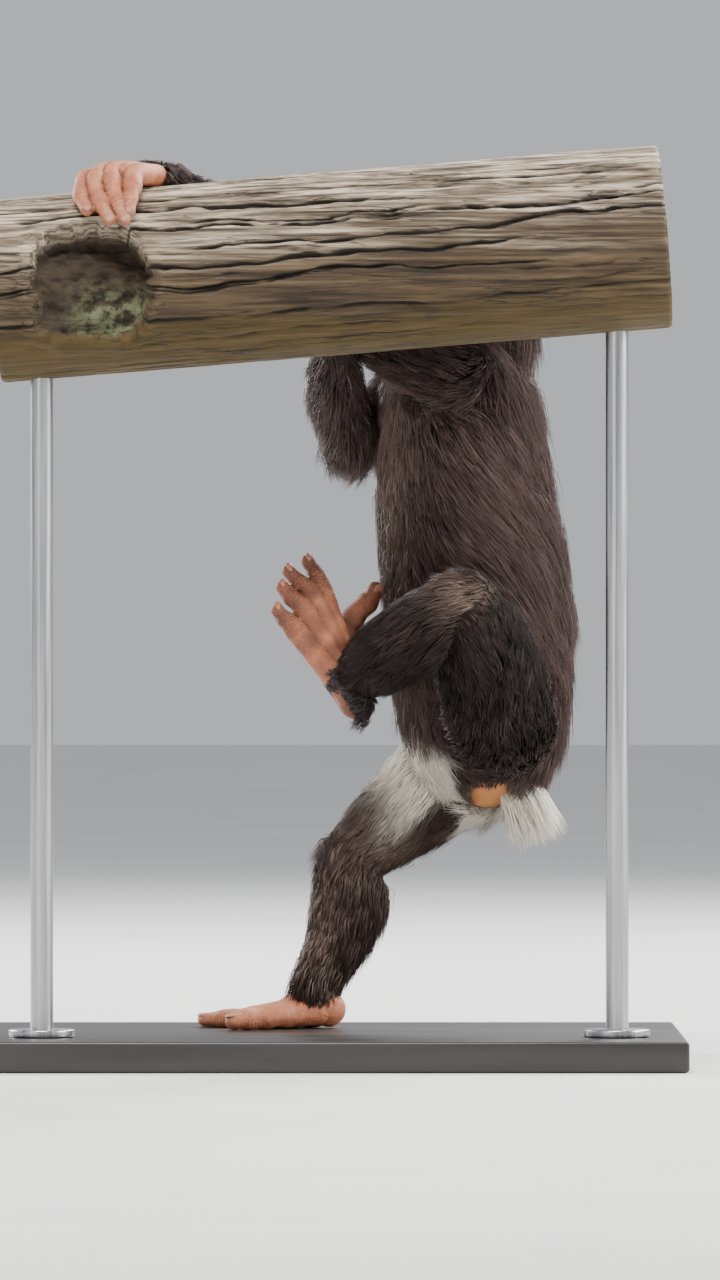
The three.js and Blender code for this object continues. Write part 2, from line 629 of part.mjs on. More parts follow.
const clearOf = (shape, others) => {
  const near = others.filter((other) => other.intersect(shape).volume() > 0);
  return near.length ? shape.subtract(join(near)) : shape;
};

// First the cores, then the locks, which give way to every other core and to the locks before them
const cores = nodes.map(([, name, , make]) => ({ name, core: join(make(0)), grown: join(make(gap)) }));
cores.forEach((piece, i) => {
  piece.core = largest(clearOf(piece.core, cores.slice(0, i).map(({ grown }) => grown)));
});
const lockClaims = [];
for (const piece of cores) {
  piece.shape = piece.core;
  if (!coats[piece.name]) continue;
  const [limb, style] = coats[piece.name];
  const locks = coatOf(limb, style, Object.values(limbs).filter((other) => other !== limb));
  const others = cores.filter(({ name }) => name !== piece.name).map(({ grown }) => grown);
  const coat = clearOf(join(locks.map((make) => make(0))), [...others, ...lockClaims]);
  lockClaims.push(join(locks.flatMap((make) => [make(0), make(lockGap)])));
  piece.shape = largest(join([piece.core, coat]));
}

// The scene: a group for the stand, the trunk, the head and each limb, each mesh placed at its own middle
const chimpanzee = new THREE.Group();
const groups = new Map();
nodes.forEach(([groupName, name, look], i) => {
  if (!groups.has(groupName)) {
    groups.set(groupName, new THREE.Group());
    chimpanzee.add(groups.get(groupName));
  }
  const mesh = new THREE.Mesh(geometryOf(cores[i].shape), finishes[look].clone());
  mesh.geometry.computeBoundingBox();
  mesh.geometry.boundingBox.getCenter(mesh.position);
  mesh.geometry.translate(...mesh.position.clone().negate().toArray());
  mesh.name = name;
  groups.get(groupName).add(mesh);
});

export default chimpanzee;
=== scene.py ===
import math
import bmesh
import bpy
import numpy as np
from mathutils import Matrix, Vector, kdtree


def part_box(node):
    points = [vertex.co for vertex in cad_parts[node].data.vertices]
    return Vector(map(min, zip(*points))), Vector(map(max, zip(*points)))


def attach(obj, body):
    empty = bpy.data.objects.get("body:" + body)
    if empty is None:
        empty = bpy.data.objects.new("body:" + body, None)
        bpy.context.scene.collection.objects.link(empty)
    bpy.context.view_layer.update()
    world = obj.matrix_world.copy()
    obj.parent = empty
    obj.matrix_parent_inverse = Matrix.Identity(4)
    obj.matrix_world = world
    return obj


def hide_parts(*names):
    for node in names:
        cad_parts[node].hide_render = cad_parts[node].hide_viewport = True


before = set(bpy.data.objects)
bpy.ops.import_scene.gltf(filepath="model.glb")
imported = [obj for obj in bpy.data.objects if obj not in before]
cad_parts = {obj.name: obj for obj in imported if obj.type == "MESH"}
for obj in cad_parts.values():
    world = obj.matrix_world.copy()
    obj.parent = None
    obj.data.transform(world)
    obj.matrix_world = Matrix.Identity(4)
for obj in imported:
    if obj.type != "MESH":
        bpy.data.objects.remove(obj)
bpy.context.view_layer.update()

# A young chimpanzee as a museum shows it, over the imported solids: one skin, a coat of tufts, eyes, nails,
# the weathered log and the stand. Places and sizes in the dictionaries are millimetres in the part's frame.
mm = 0.001
up = np.array([0.0, 0.0, 1.0])
away = np.array([0.0, 1.0, 0.0])
right = np.array([1.0, 0.0, 0.0])


# The camera stands far off, level with the middle of the animal
view = {"place": (0.024, -6.942, 0.336), "fieldOfView": 8.4}


def addCamera():
    bpy.ops.object.camera_add(location=view["place"], rotation=(math.radians(90), 0, 0))
    camera = bpy.context.object
    camera.name = "camera"
    halfSensor = camera.data.sensor_width / 2
    camera.data.lens = halfSensor / math.tan(math.radians(view["fieldOfView"] / 2))
    camera.data.clip_end = 60
    bpy.context.scene.camera = camera


def deselect():
    if bpy.context.mode != "OBJECT":
        bpy.ops.object.mode_set(mode="OBJECT")
    bpy.ops.object.select_all(action="DESELECT")


def activate(obj):
    deselect()
    obj.select_set(True)
    bpy.context.view_layer.objects.active = obj


def applyModifier(obj, kind, **settings):
    activate(obj)
    modifier = obj.modifiers.new(kind, kind)
    for key, value in settings.items():
        setattr(modifier, key, value)
    bpy.ops.object.modifier_apply(modifier=modifier.name)


def joinAll(objects, name):
    deselect()
    for obj in objects:
        obj.select_set(True)
    bpy.context.view_layer.objects.active = objects[0]
    bpy.ops.object.join()
    joined = bpy.context.object
    joined.name = name
    joined.data.name = name
    return joined


# A mesh from an array of points and one of triangles or quads
def meshPiece(name, verts, faces):
    verts = np.asarray(verts, dtype=np.float32)
    faces = np.asarray(faces, dtype=np.int32)
    mesh = bpy.data.meshes.new(name)
    mesh.vertices.add(len(verts))
    mesh.vertices.foreach_set("co", verts.ravel())
    mesh.loops.add(faces.size)
    mesh.loops.foreach_set("vertex_index", faces.ravel())
    mesh.polygons.add(len(faces))
    mesh.polygons.foreach_set("loop_start", np.arange(0, faces.size, faces.shape[1], dtype=np.int32))
    mesh.update(calc_edges=True)
    mesh.validate()
    obj = bpy.data.objects.new(name, mesh)
    bpy.context.collection.objects.link(obj)
    return obj


def shadeSmooth(obj):
    obj.data.polygons.foreach_set("use_smooth", np.ones(len(obj.data.polygons), dtype=bool))
    obj.data.update()


def positionsOf(mesh):
    flat = np.empty(len(mesh.vertices) * 3, dtype=np.float32)
    mesh.vertices.foreach_get("co", flat)
    return flat.reshape(-1, 3).astype(float)


def normalsOf(mesh):
    flat = np.empty(len(mesh.vertices) * 3, dtype=np.float32)
    mesh.vertex_normals.foreach_get("vector", flat)
    return flat.reshape(-1, 3).astype(float)


def setPositions(mesh, points):
    mesh.vertices.foreach_set("co", np.asarray(points, dtype=np.float32).ravel())
    mesh.update()


def setColors(mesh, name, values):
    colors = np.ones((len(values), 4), dtype=np.float32)
    colors[:, :values.shape[1]] = values
    layer = mesh.color_attributes.new(name, "FLOAT_COLOR", "POINT")
    layer.data.foreach_set("color", colors.ravel())


def unit(v):
    return v / np.maximum(np.linalg.norm(v, axis=-1, keepdims=True), 1e-9)


def smoothstep(low, high, x):
    t = np.clip((x - low) / (high - low), 0, 1)
    return t * t * (3 - 2 * t)


# One at nought, falling off smoothly to both sides
def bell(x):
    return np.exp(-x ** 2)


def bellAt(points, spot, reach):
    return bell(np.linalg.norm(points - spot, axis=1) / reach)


# Smooth noise from a lattice of seeded values, for points or pairs of numbers
def noise(points, scale, seed):
    points = np.asarray(points, dtype=float) / scale
    cell = np.floor(points).astype(np.int64)
    part = points - cell
    part = part * part * (3 - 2 * part)
    total = np.zeros(len(points))
    corners = np.indices((2,) * points.shape[1]).reshape(points.shape[1], -1).T
    primes = np.array([73856093, 19349663, 83492791])[:points.shape[1]]
    for corner in corners:
        weight = np.prod(np.where(corner, part, 1 - part), axis=1)
        mixed = np.bitwise_xor.reduce((cell + corner) * primes, axis=1) ^ (seed * 2654435761)
        mixed = (mixed ^ (mixed >> 13)) * 1274126177
        total += weight * (((mixed ^ (mixed >> 16)) & 0xFFFF) / 32767.5 - 1)
    return total


# A smooth curve through stations, evenly stepped from the first to the last
def curveThrough(stations, count):
    points = np.array(stations, dtype=float)
    padded = np.vstack([2 * points[0] - points[1], points, 2 * points[-1] - points[-2]])
    t = np.linspace(0, len(points) - 1, count)
    k = np.minimum(t.astype(int), len(points) - 2)
    f = (t - k)[:, None]
    a, b, c, d = padded[k], padded[k + 1], padded[k + 2], padded[k + 3]
    bend = (2 * a - 5 * b + 4 * c - d) * f ** 2
    return 0.5 * (2 * b + (c - a) * f + bend + (3 * b - a - 3 * c + d) * f ** 3)


# A limb's path with its frame: stations hold x, y, z, the half width along side and the one across it
class Limb:
    def __init__(self, stations, side, count=48):
        full = [(*s, s[3]) if len(s) == 4 else s for s in stations]
        curve = curveThrough(full, count)
        self.path = curve[:, :3] * mm
        self.size = np.maximum(curve[:, 3:] * mm, 0.0003)
        self.along = unit(np.gradient(self.path, axis=0))
        side = np.asarray(side, dtype=float)
        self.across = unit(side - self.along * (self.along @ side)[:, None])
        self.over = np.cross(self.along, self.across)
        self.t = np.linspace(0, 1, count)

    def tube(self, sides=28, caps=(0.8, 0.8)):
        turns = np.linspace(0, 2 * np.pi, sides, endpoint=False)
        rings = []

        def ring(k, shrink, shift):
            flat = (self.size[k, 0] * np.cos(turns)[:, None] * self.across[k]
                    + self.size[k, 1] * np.sin(turns)[:, None] * self.over[k])
            rings.append(self.path[k] + shrink * flat + shift * self.along[k])

        reach = [self.size[k].min() * cap for k, cap in zip((0, -1), caps)]
        for turn in np.radians([75, 55, 35, 15]):
            ring(0, math.cos(turn), -reach[0] * math.sin(turn))
        for k in range(len(self.path)):
            ring(k, 1, 0)
        for turn in np.radians([15, 35, 55, 75]):
            ring(-1, math.cos(turn), reach[1] * math.sin(turn))
        ends = [self.path[0] - reach[0] * self.along[0], self.path[-1] + reach[1] * self.along[-1]]
        verts = np.vstack([*rings, *ends])
        i = np.arange(sides)
        j = (i + 1) % sides
        faces = []
        for r in range(len(rings) - 1):
            a, b = r * sides, (r + 1) * sides
            faces += [np.stack([a + i, a + j, b + i], 1), np.stack([a + j, b + j, b + i], 1)]
        first, last = len(verts) - 2, len(verts) - 1
        top = (len(rings) - 1) * sides
        faces.append(np.stack([np.full(sides, first), j, i], 1))
        faces.append(np.stack([np.full(sides, last), top + i, top + j], 1))
        return verts, np.vstack(faces)


def ballMesh(centre, axes, halves, rows=18, sides=26):
    polar = np.linspace(0, np.pi, rows + 1)[1:-1]
    turns = np.linspace(0, 2 * np.pi, sides, endpoint=False)
    local = [(math.sin(p) * math.cos(q), math.sin(p) * math.sin(q), math.cos(p))
             for p in polar for q in turns]
    local = np.array(local + [(0, 0, 1), (0, 0, -1)]) * np.array(halves) * mm
    verts = np.asarray(centre) * mm + local @ np.array(axes)
    i = np.arange(sides)
    j = (i + 1) % sides
    faces = []
    for r in range(rows - 2):
        a, b = r * sides, (r + 1) * sides
        faces += [np.stack([a + i, b + i, a + j], 1), np.stack([a + j, b + i, b + j], 1)]
    top, bottom = len(verts) - 2, len(verts) - 1
    last = (rows - 2) * sides
    faces.append(np.stack([np.full(sides, top), i, j], 1))
    faces.append(np.stack([np.full(sides, bottom), last + j, last + i], 1))
    return verts, np.vstack(faces)


# Closed forms gathered into one mesh, then melted together by a voxel remesh
def melt(name, forms, voxel, smoothing):
    verts, faces, start = [], [], 0
    for v, f in forms:
        verts.append(v)
        faces.append(f + start)
        start += len(v)
    obj = meshPiece(name, np.vstack(verts), np.vstack(faces))
    applyModifier(obj, "REMESH", mode="VOXEL", voxel_size=voxel * mm, adaptivity=0)
    if smoothing:
        applyModifier(obj, "SMOOTH", factor=0.5, iterations=smoothing)
    return obj


addCamera()
print("camera set")

# The stand, and the log with its own frame: along it, degrees round it from the top towards the viewer, and
# height above its bark
stand = dict(rodRadius=9, flange=26, flangeHeight=6, thick=24)
log = {"radius": 73, "ends": (-264, 264), "y": -95, "z": 631.5, "tilt": 4.7}
logAlong = np.array([math.cos(math.radians(log["tilt"])), 0, math.sin(math.radians(log["tilt"]))])
logUp = np.array([-logAlong[2], 0, logAlong[0]])


def onLog(along, degrees, above):
    turn = math.radians(degrees)
    reach = log["radius"] + above
    place = np.array([0, log["y"], log["z"]]) + along * logAlong
    return place + reach * math.cos(turn) * logUp - reach * math.sin(turn) * away


# The body's forms without their coat; each tone is partly the hair's own tone, partly painted light and shade
midY = 58
trunk = {
    "torso": dict(side=away, lie=-1, hair=40, toneAndLight=0.8, stations=[
        (126, 62, 212, 20, 18), (126, 61, 222, 36, 36), (125, 60, 240, 48, 47), (123, 59, 266, 57, 57),
        (121, 58, 302, 62, 63), (118, 58, 352, 67, 67), (112, 58, 408, 69, 66), (106, 58, 460, 68, 62),
        (103, 58, 508, 67, 57), (102, 58, 546, 62, 51), (103, 58, 574, 46, 42)]),
    "neck": dict(side=away, lie=-1, hair=58, toneAndLight=0.55, stations=[
        (106, 58, 556, 42, 44), (109, 58, 584, 39, 42), (113, 59, 612, 39, 42)]),
    "upperArmLeft": dict(side=up, lie=1, hair=32, toneAndLight=0.45, stations=[
        (98, 22, 546, 30), (88, -2, 554, 29), (52, 5, 578, 24), (14, 12, 606, 20.5), (-24, 18, 636, 17.5)]),
    "forearmLeft": dict(side=away, lie=-1, hair=24, toneAndLight=0.3, stations=[
        (-24, 18, 636, 17), (-50, 2, 656, 17.5), (-84, -22, 676, 14.5), (*onLog(-116, -27, 12.5), 12, 10.5)]),
    "upperArmRight": dict(side=up, lie=1, hair=30, toneAndLight=0.6, stations=[
        (100, 98, 554, 30), (92, 118, 556, 28), (66, 106, 534, 24), (42, 90, 512, 21), (18, 72, 494, 18)]),
    "forearmRight": dict(side=right, lie=-1, hair=28, toneAndLight=0.4, stations=[
        (18, 72, 494, 17.5), (8, 48, 518, 18), (4, 14, 548, 15.5), (*onLog(0, -127, 13), 12, 10.5)]),
    "thighLeft": dict(side=right, lie=1, hair=30, toneAndLight=0.12, stations=[
        (128, 36, 268, 40), (133, 12, 274, 40), (125, -26, 320, 34), (108, -60, 368, 22)]),
    "shinLeft": dict(side=away, lie=1, hair=22, toneAndLight=0.14, stations=[
        (106, -61, 367, 19), (80, -54, 346, 26), (50, -40, 326, 25), (26, -28, 311, 18), (14, -22, 304, 15)]),
    "thighRight": dict(side=away, lie=1, hair=28, toneAndLight=0.5, stations=[
        (124, 90, 262, 38), (104, 97, 234, 38), (62, 94, 198, 30), (18, 90, 162, 22)]),
    "shinRight": dict(side=away, lie=1, hair=32, toneAndLight=0.5, stations=[
        (18, 90, 161, 21), (17, 86, 134, 24), (7, 78, 98, 19), (-8, 69, 66, 14), (-12, 66, 50, 13.5)]),
}
limbs = {name: Limb(form["stations"], form["side"]) for name, form in trunk.items()}

# Hands on the log and feet: each ray runs from the wrist or heel to the tip of its finger or toe
hands = {
    "handLeft": dict(side=away, palm=((-142, -9, 7), (23, 17, 12)), rays=[
        [(-114, -30, 11), (-165, -14, 12), (-184, 14, 11), (-189, 34, 8), (-185, 46, 6.5)],
        [(-115, -27, 12), (-165, -3, 13.5), (-177, 23, 12), (-174, 42, 8), (-168, 55, 6.5)],
        [(-116, -24, 12), (-158, 7, 13), (-164, 28, 11), (-160, 45, 8), (-156, 56, 6.5)],
        [(-116, -21, 11), (-144, 15, 11), (-148, 31, 9), (-151, 42, 7.5), (-152, 50, 6.5)],
        [(-116, -33, 10), (-134, -46, 10), (-150, -53, 8), (-161, -56, 7)]]),
    "handRight": dict(side=right, palm=((-2, -105, 8), (20, 12, 18)), rays=[
        [(5, -122, 12), (17, -89, 12), (21, -68, 11), (22, -55, 8), (22, -46, 6.5)],
        [(2, -124, 12), (5, -87, 13), (6, -65, 11), (7, -51, 8), (8, -42, 6.5)],
        [(-1, -124, 12), (-8, -89, 12), (-9, -68, 11), (-8, -54, 8), (-6, -45, 6.5)],
        [(-4, -122, 11), (-20, -94, 11), (-23, -77, 9), (-23, -66, 7.5), (-21, -58, 6.5)],
        [(5, -128, 11), (23, -124, 10), (37, -117, 8), (46, -112, 7)]]),
}
fingerRadii = (10, 8.2, 6.9, 6.1, 5)
thumbRadii = (9, 8, 6.6, 5.2)
feet = {
    "footLeft": dict(sole=(-0.76, 0.57, -0.34), rays=[
        [(16, -14, 303), (-6, 3, 374), (-12, 4, 389), (-18, 5, 399)],
        [(16, -18, 302), (-13, -7, 368), (-25, -6, 382), (-33, -5, 391)],
        [(16, -22, 299), (-19, -16, 357), (-31, -15, 370), (-38, -14, 378)],
        [(16, -26, 295), (-26, -24, 342), (-36, -23, 353), (-42, -22, 360)],
        [(12, -10, 300), (10, 8, 334), (18, 15, 353), (30, 18, 366), (36, 18, 376)]],
        heel=[(21, -18, 286, 14), (12, -19, 304, 15), (4, -16, 322, 12)]),
    "footRight": dict(sole=(0, 0, -1), rays=[
        [(-16, 62, 39), (-62, 68, 33), (-86, 74, 31), (-101, 78, 29.8)],
        [(-16, 66, 39), (-60, 79, 33), (-86, 87, 31), (-102, 92, 29.8)],
        [(-14, 70, 38), (-56, 89, 32.8), (-80, 99, 30.9), (-95, 105, 29.8)],
        [(-12, 74, 37), (-48, 97, 32.8), (-70, 109, 30.8), (-83, 116, 29.8)],
        [(-10, 60, 38), (-34, 50, 35), (-52, 40, 33.8), (-68, 29, 32.8), (-77, 22, 31.2)]],
        heel=[(0, 66, 38.5, 14), (-14, 66, 44, 15), (-32, 70, 38.5, 12)]),
}
toeRadii = (13, 8.4, 6.6, 5.4)
bigToeRadii = (12, 10, 9.4, 8.6, 6.8)


# Knuckles swell a little where the bones meet, between thinner stretches
def rayLimb(points, radii, side, count=30):
    curve = curveThrough([(*p, r) for p, r in zip(points, radii)], count)
    t = np.linspace(0, len(points) - 1, count)
    bare = np.clip(t - 0.6, 0, 1)
    curve[:, 3] *= 1 + 0.055 * bare * np.cos(2 * np.pi * t)
    return Limb([tuple(c) for c in curve], side, count)


# Each ray of a hand or foot: its placed points and their radii
def raysOf(name):
    if name in hands:
        return [([onLog(*p) for p in ray], fingerRadii if len(ray) == 5 else thumbRadii)
                for ray in hands[name]["rays"]]
    return [([np.array(p, dtype=float) for p in ray], bigToeRadii if len(ray) == 5 else toeRadii)
            for ray in feet[name]["rays"]]


# The head's own frame: forward, to its left, up
headPlace = dict(centre=(107, midY + 2, 645), turn=12, pitch=4, size=1.05)
pitch = math.tan(math.radians(headPlace["pitch"]))
turn = math.radians(headPlace["turn"])
headForward = unit(np.array([-math.cos(turn), math.sin(turn), pitch]))
headLeft = unit(np.cross(up, headForward))
headUp = np.cross(headForward, headLeft)
headAxes = np.array([headForward, headLeft, headUp])


def inHead(x, y, z):
    return np.array(headPlace["centre"]) + headPlace["size"] * (np.array([x, y, z]) @ headAxes)


def headLimb(stations, side=None, count=28):
    placed = [(*inHead(*s[:3]), *(r * headPlace["size"] for r in s[3:])) for s in stations]
    return Limb(placed, headLeft if side is None else side, count)


# The cranium carries hair, so it counts as a limb of the coat; its path runs from the brow to the back
cranium = headLimb([
    (36, 0, 7, 26, 26), (28, 0, 7, 38, 36), (14, 0, 8, 46, 44), (-8, 0, 8, 49, 47), (-30, 0, 6, 44, 43),
    (-48, 0, 3, 29, 29)], count=40)
limbs["cranium"] = cranium
trunk["cranium"] = dict(lie=1, hair=21, toneAndLight=0.25)


def lidForms(sign):
    forms = []
    for lift, radius in ((6.7, 2.4), (-5.4, 2.1)):
        forms.append(headLimb([
            (41, sign * 9, 1.4, 1.7), (45.2, sign * 13.5, 2.2 + lift * 0.8, radius),
            (46, sign * 20, 2.4 + lift, radius + 0.2), (43.2, sign * 26.5, 3 + lift * 0.74, radius),
            (37.5, sign * 30.5, 3.2, 1.7)], headUp).tube(16))
    return forms


def lipForm(reach, height, radius):
    return headLimb([
        (reach - 27, -22.5, height + 2.5, radius * 0.45), (reach - 9, -16, height + 0.4, radius),
        (reach, 0, height, radius), (reach - 9, 16, height + 0.4, radius),
        (reach - 27, 22.5, height + 2.5, radius * 0.45)], headUp).tube(16)


# An ear: a dish on a short root, with a rolled rim round it and a fold inside
def earForms(sign):
    out = 0.45 * headForward + 0.89 * sign * headLeft
    back = -0.89 * headForward + 0.45 * sign * headLeft
    centre = inHead(-13, sign * 55, 3)

    def place(b, u, o):
        return centre + b * back + u * headUp + o * out

    def curl(halfWide, halfTall, start, stop, lift, radius):
        stations = []
        for a in np.radians(np.linspace(start, stop, 9)):
            stations.append((*place(halfWide * math.cos(a), halfTall * math.sin(a), lift), radius))
        return Limb(stations, out, 40).tube(12)

    dish = ballMesh(centre, [back, headUp, out], (17, 25, 2.4))
    root = ballMesh(inHead(0, sign * 47, 1), [headForward, headLeft, headUp], (8, 8, 12))
    rim = curl(17, 25, -118, 196, 1.6, 2.5)
    fold = curl(9.5, 15, -60, 150, 2.2, 1.8)
    lobe = ballMesh(place(-4, -23, 0.5), [back, headUp, out], (6, 6, 3.2))
    tragus = ballMesh(place(-13, -5, 3), [back, headUp, out], (4, 5, 3.4))
    return [dish, root, rim, fold, lobe, tragus]


def headForms():
    forms = [cranium.tube(40, (0.4, 0.6))]
    forms.append(headLimb([
        (22, -40, 8, 4.5), (37, -29, 13, 5.2), (44, -15, 15.5, 5.4), (45.5, 0, 13, 5), (44, 15, 15.5, 5.4),
        (37, 29, 13, 5.2), (22, 40, 8, 4.5)], headUp).tube(18))
    forms.append(headLimb([(24, 0, -18, 30, 26), (44, 0, -22, 26, 20), (60, 0, -25, 21, 16),
                           (69, 0, -27, 14, 11)]).tube(36, (0.3, 0.7)))
    forms.append(headLimb([(4, 0, -34, 31, 15), (28, 0, -39, 27, 12), (50, 0, -41, 20, 9.5),
                           (62, 0, -41, 12, 7)]).tube(32, (0.5, 0.8)))
    forms.append(headLimb([(42, 0, 8, 6, 3), (48, 0, -2, 7, 3.4), (57.5, 0, -10, 10, 4.4),
                           (64.5, 0, -15, 12, 4.4)]).tube(20))
    forms += [ballMesh(inHead(66, s * 6.2, -15.5), headAxes, (5.4, 4.4, 4)) for s in (-1, 1)]
    forms += [ballMesh(inHead(26, s * 24, -11), headAxes, (18, 16, 18)) for s in (-1, 1)]
    forms += [lipForm(70.5, -32.8, 3.3), lipForm(68, -39.2, 3.3)]
    forms += lidForms(1) + lidForms(-1)
    for s in (-1, 1):
        forms += earForms(s)
    forms.append(headLimb([(-10, 0, -8, 38, 38), (-6, 0, -40, 37, 39)], headLeft).tube(32, (0.2, 0.2)))
    return forms


nostril = np.array([71, 5.6, -16.2])
eye = dict(radius=9.5, socket=9.75, forward=36.5, apart=19.5, height=2.4)
body = dict(triangles=186000, trunkVoxel=3.6, headVoxel=1.2, handVoxel=1.3, footVoxel=1.4)


def headPart(points):
    return (points / mm - np.array(headPlace["centre"])) @ headAxes.T / headPlace["size"]


# The line where the lips meet, curving up at its corners
def mouthLine(y):
    return -36.1 + 2.2 * (y / 25) ** 2 + 0.25 * np.sin(y * 0.9)


# Painted shade in the hollows: how dark the nostrils, the line of the mouth, the lids' edges and the cup of
# each ear are painted
def hollowShade(local):
    x, y, z = local.T
    dark = bell((z - mouthLine(y)) / 1.15) * smoothstep(27, 22, np.abs(y)) * (x > 36)
    for s in (-1, 1):
        pit = np.linalg.norm((local - nostril * [1, s, 1]) / [5.2, 2.9, 2.7], axis=1)
        dark = np.maximum(dark, bell(pit))
        rim = np.hypot((y - s * 20) / 9.8, (z - 2.6) / 5.2)
        dark = np.maximum(dark, 0.75 * bell((rim - 0.9) / 0.28) * (x > 34) * (x < 50))
        cup = np.linalg.norm((local - [-11, s * 57, 4]) / [8, 6, 13], axis=1)
        dark = np.maximum(dark, 0.6 * bell(cup))
    return dark


# Pits, lines and folds of the face, pressed into the fine mesh along its normals
def shapeFace(obj):
    points = positionsOf(obj.data)
    normals = normalsOf(obj.data)
    local = headPart(points)
    x, y, z = local.T
    push = np.zeros(len(points))
    for s in (-1, 1):
        pit = np.linalg.norm((local - nostril * [1, s, 1]) / [5.4, 2.6, 2.5], axis=1)
        push -= 5.2 * bell(pit)
        wing = np.linalg.norm((local - [66, s * 10.5, -16]) / [6, 2.2, 5], axis=1)
        push -= 1.1 * bell(wing)
        bags = np.hypot((y - s * 20) / 13.5, (z + 1) / 12.5)
        under = smoothstep(2, -4, z) * (x > 22)
        push += 0.5 * np.cos(11 * bags) * bell((bags - 0.95) / 0.32) * under
        nasal = np.abs(y - s * (10 - 0.42 * (z + 14))) / 2.6
        push -= 0.3 * bell(nasal) * smoothstep(-36, -30, z) * smoothstep(-12, -18, z) * (x > 45)
    push -= 3.2 * bell((z - mouthLine(y)) / 1.1) * smoothstep(27, 23, np.abs(y)) * (x > 36)
    upperLip = smoothstep(-35, -30, z) * smoothstep(-20, -26, z) * (x > 50)
    push -= 0.7 * bell(y / 1.5) * upperLip
    push += 0.2 * np.sin(y * 1.3 + 2 * noise(local, 9, 51)) * upperLip
    forehead = smoothstep(15, 19, z) * smoothstep(31, 24, z) * (x > 30)
    push += 0.3 * np.sin(z * 1.7 + 1.5 * noise(local, 14, 52)) * forehead
    push += 0.35 * noise(local, 7, 53) * (x > 20) + 0.16 * noise(local, 2.6, 54) * (x > 20)
    setPositions(obj.data, points + normals * (push * mm)[:, None])


# Eye holes, cut a little larger than the eyeballs so that each eye sits in its own socket
def cutWith(obj, forms):
    cutter = melt("cutter", forms, body["headVoxel"], 0)
    applyModifier(obj, "BOOLEAN", object=cutter, operation="DIFFERENCE", solver="MANIFOLD")
    bpy.data.objects.remove(cutter)


def handForms(name):
    shape = hands[name]
    rays = raysOf(name)
    forms = [rayLimb(points, radii, shape["side"]).tube(18, (0.9, 0.95)) for points, radii in rays]
    fingers = [points for points, radii in rays if len(points) == 5]
    for ray, beside in zip(fingers, fingers[1:]):
        between = [(a + b) / 2 for a, b in zip(ray[:3], beside[:3])]
        between[2] = 0.45 * between[1] + 0.55 * between[2]
        forms.append(rayLimb(between, (10.2, 8.2, 4.4), shape["side"]).tube(16))
    place, halves = shape["palm"]
    forms.append(ballMesh(onLog(*place), [logAlong, away, logUp], halves))
    return forms


def footForms(name):
    forms = [rayLimb(points, radii, away).tube(18, (0.9, 0.95)) for points, radii in raysOf(name)]
    forms.append(Limb(feet[name]["heel"], away, 24).tube(24, (0.9, 0.9)))
    return forms


# Knuckles stand out a little, and the skin is slightly uneven
def shapeDigits(obj, name):
    points = positionsOf(obj.data)
    normals = normalsOf(obj.data)
    push = 0.28 * noise(points, 0.006, 3) + 0.14 * noise(points, 0.0024, 5)
    for ray, radii in raysOf(name):
        for joint in ray[1:-1]:
            push += 0.75 * bellAt(points, joint * mm, 0.0095)
        for a, b in zip(ray[1:], ray[2:]):
            push -= 0.45 * bellAt(points, (a + b) / 2 * mm, 0.0085)
    setPositions(obj.data, points + normals * (push * mm)[:, None])


def makeSkin():
    skin = melt("skin", [limbs[name].tube(40, (0.6, 0.6)) for name in trunk if name != "cranium"],
                body["trunkVoxel"], 8)
    head = melt("head", headForms(), body["headVoxel"], 2)
    shapeFace(head)
    cutWith(head, [ballMesh(inHead(eye["forward"], s * eye["apart"], eye["height"]), headAxes,
                            (eye["socket"],) * 3) for s in (-1, 1)])
    parts = [head]
    for name in (*hands, *feet):
        isHand = name in hands
        forms = handForms(name) if isHand else footForms(name)
        parts.append(melt(name, forms, body["handVoxel" if isHand else "footVoxel"], 2))
        shapeDigits(parts[-1], name)
    for part in parts:
        applyModifier(skin, "BOOLEAN", object=part, operation="UNION", solver="MANIFOLD")
        bpy.data.objects.remove(part)
    applyModifier(skin, "TRIANGULATE")
    thinUnderCoat(skin)
    shadeSmooth(skin)
    return skin


# The skin keeps its fine triangles where it's bare and gives most of them up under the coat
def thinUnderCoat(obj):
    points = positionsOf(obj.data)
    bare = markings(points, onLimbs(points))[:, 0]
    group = obj.vertex_groups.new(name="underCoat")
    group.add([int(i) for i in np.flatnonzero(bare < 0.02)], 1.0, "REPLACE")
    ratio = min(1, body["triangles"] / len(obj.data.polygons))
    applyModifier(obj, "DECIMATE", ratio=ratio, vertex_group="underCoat", vertex_group_factor=4)


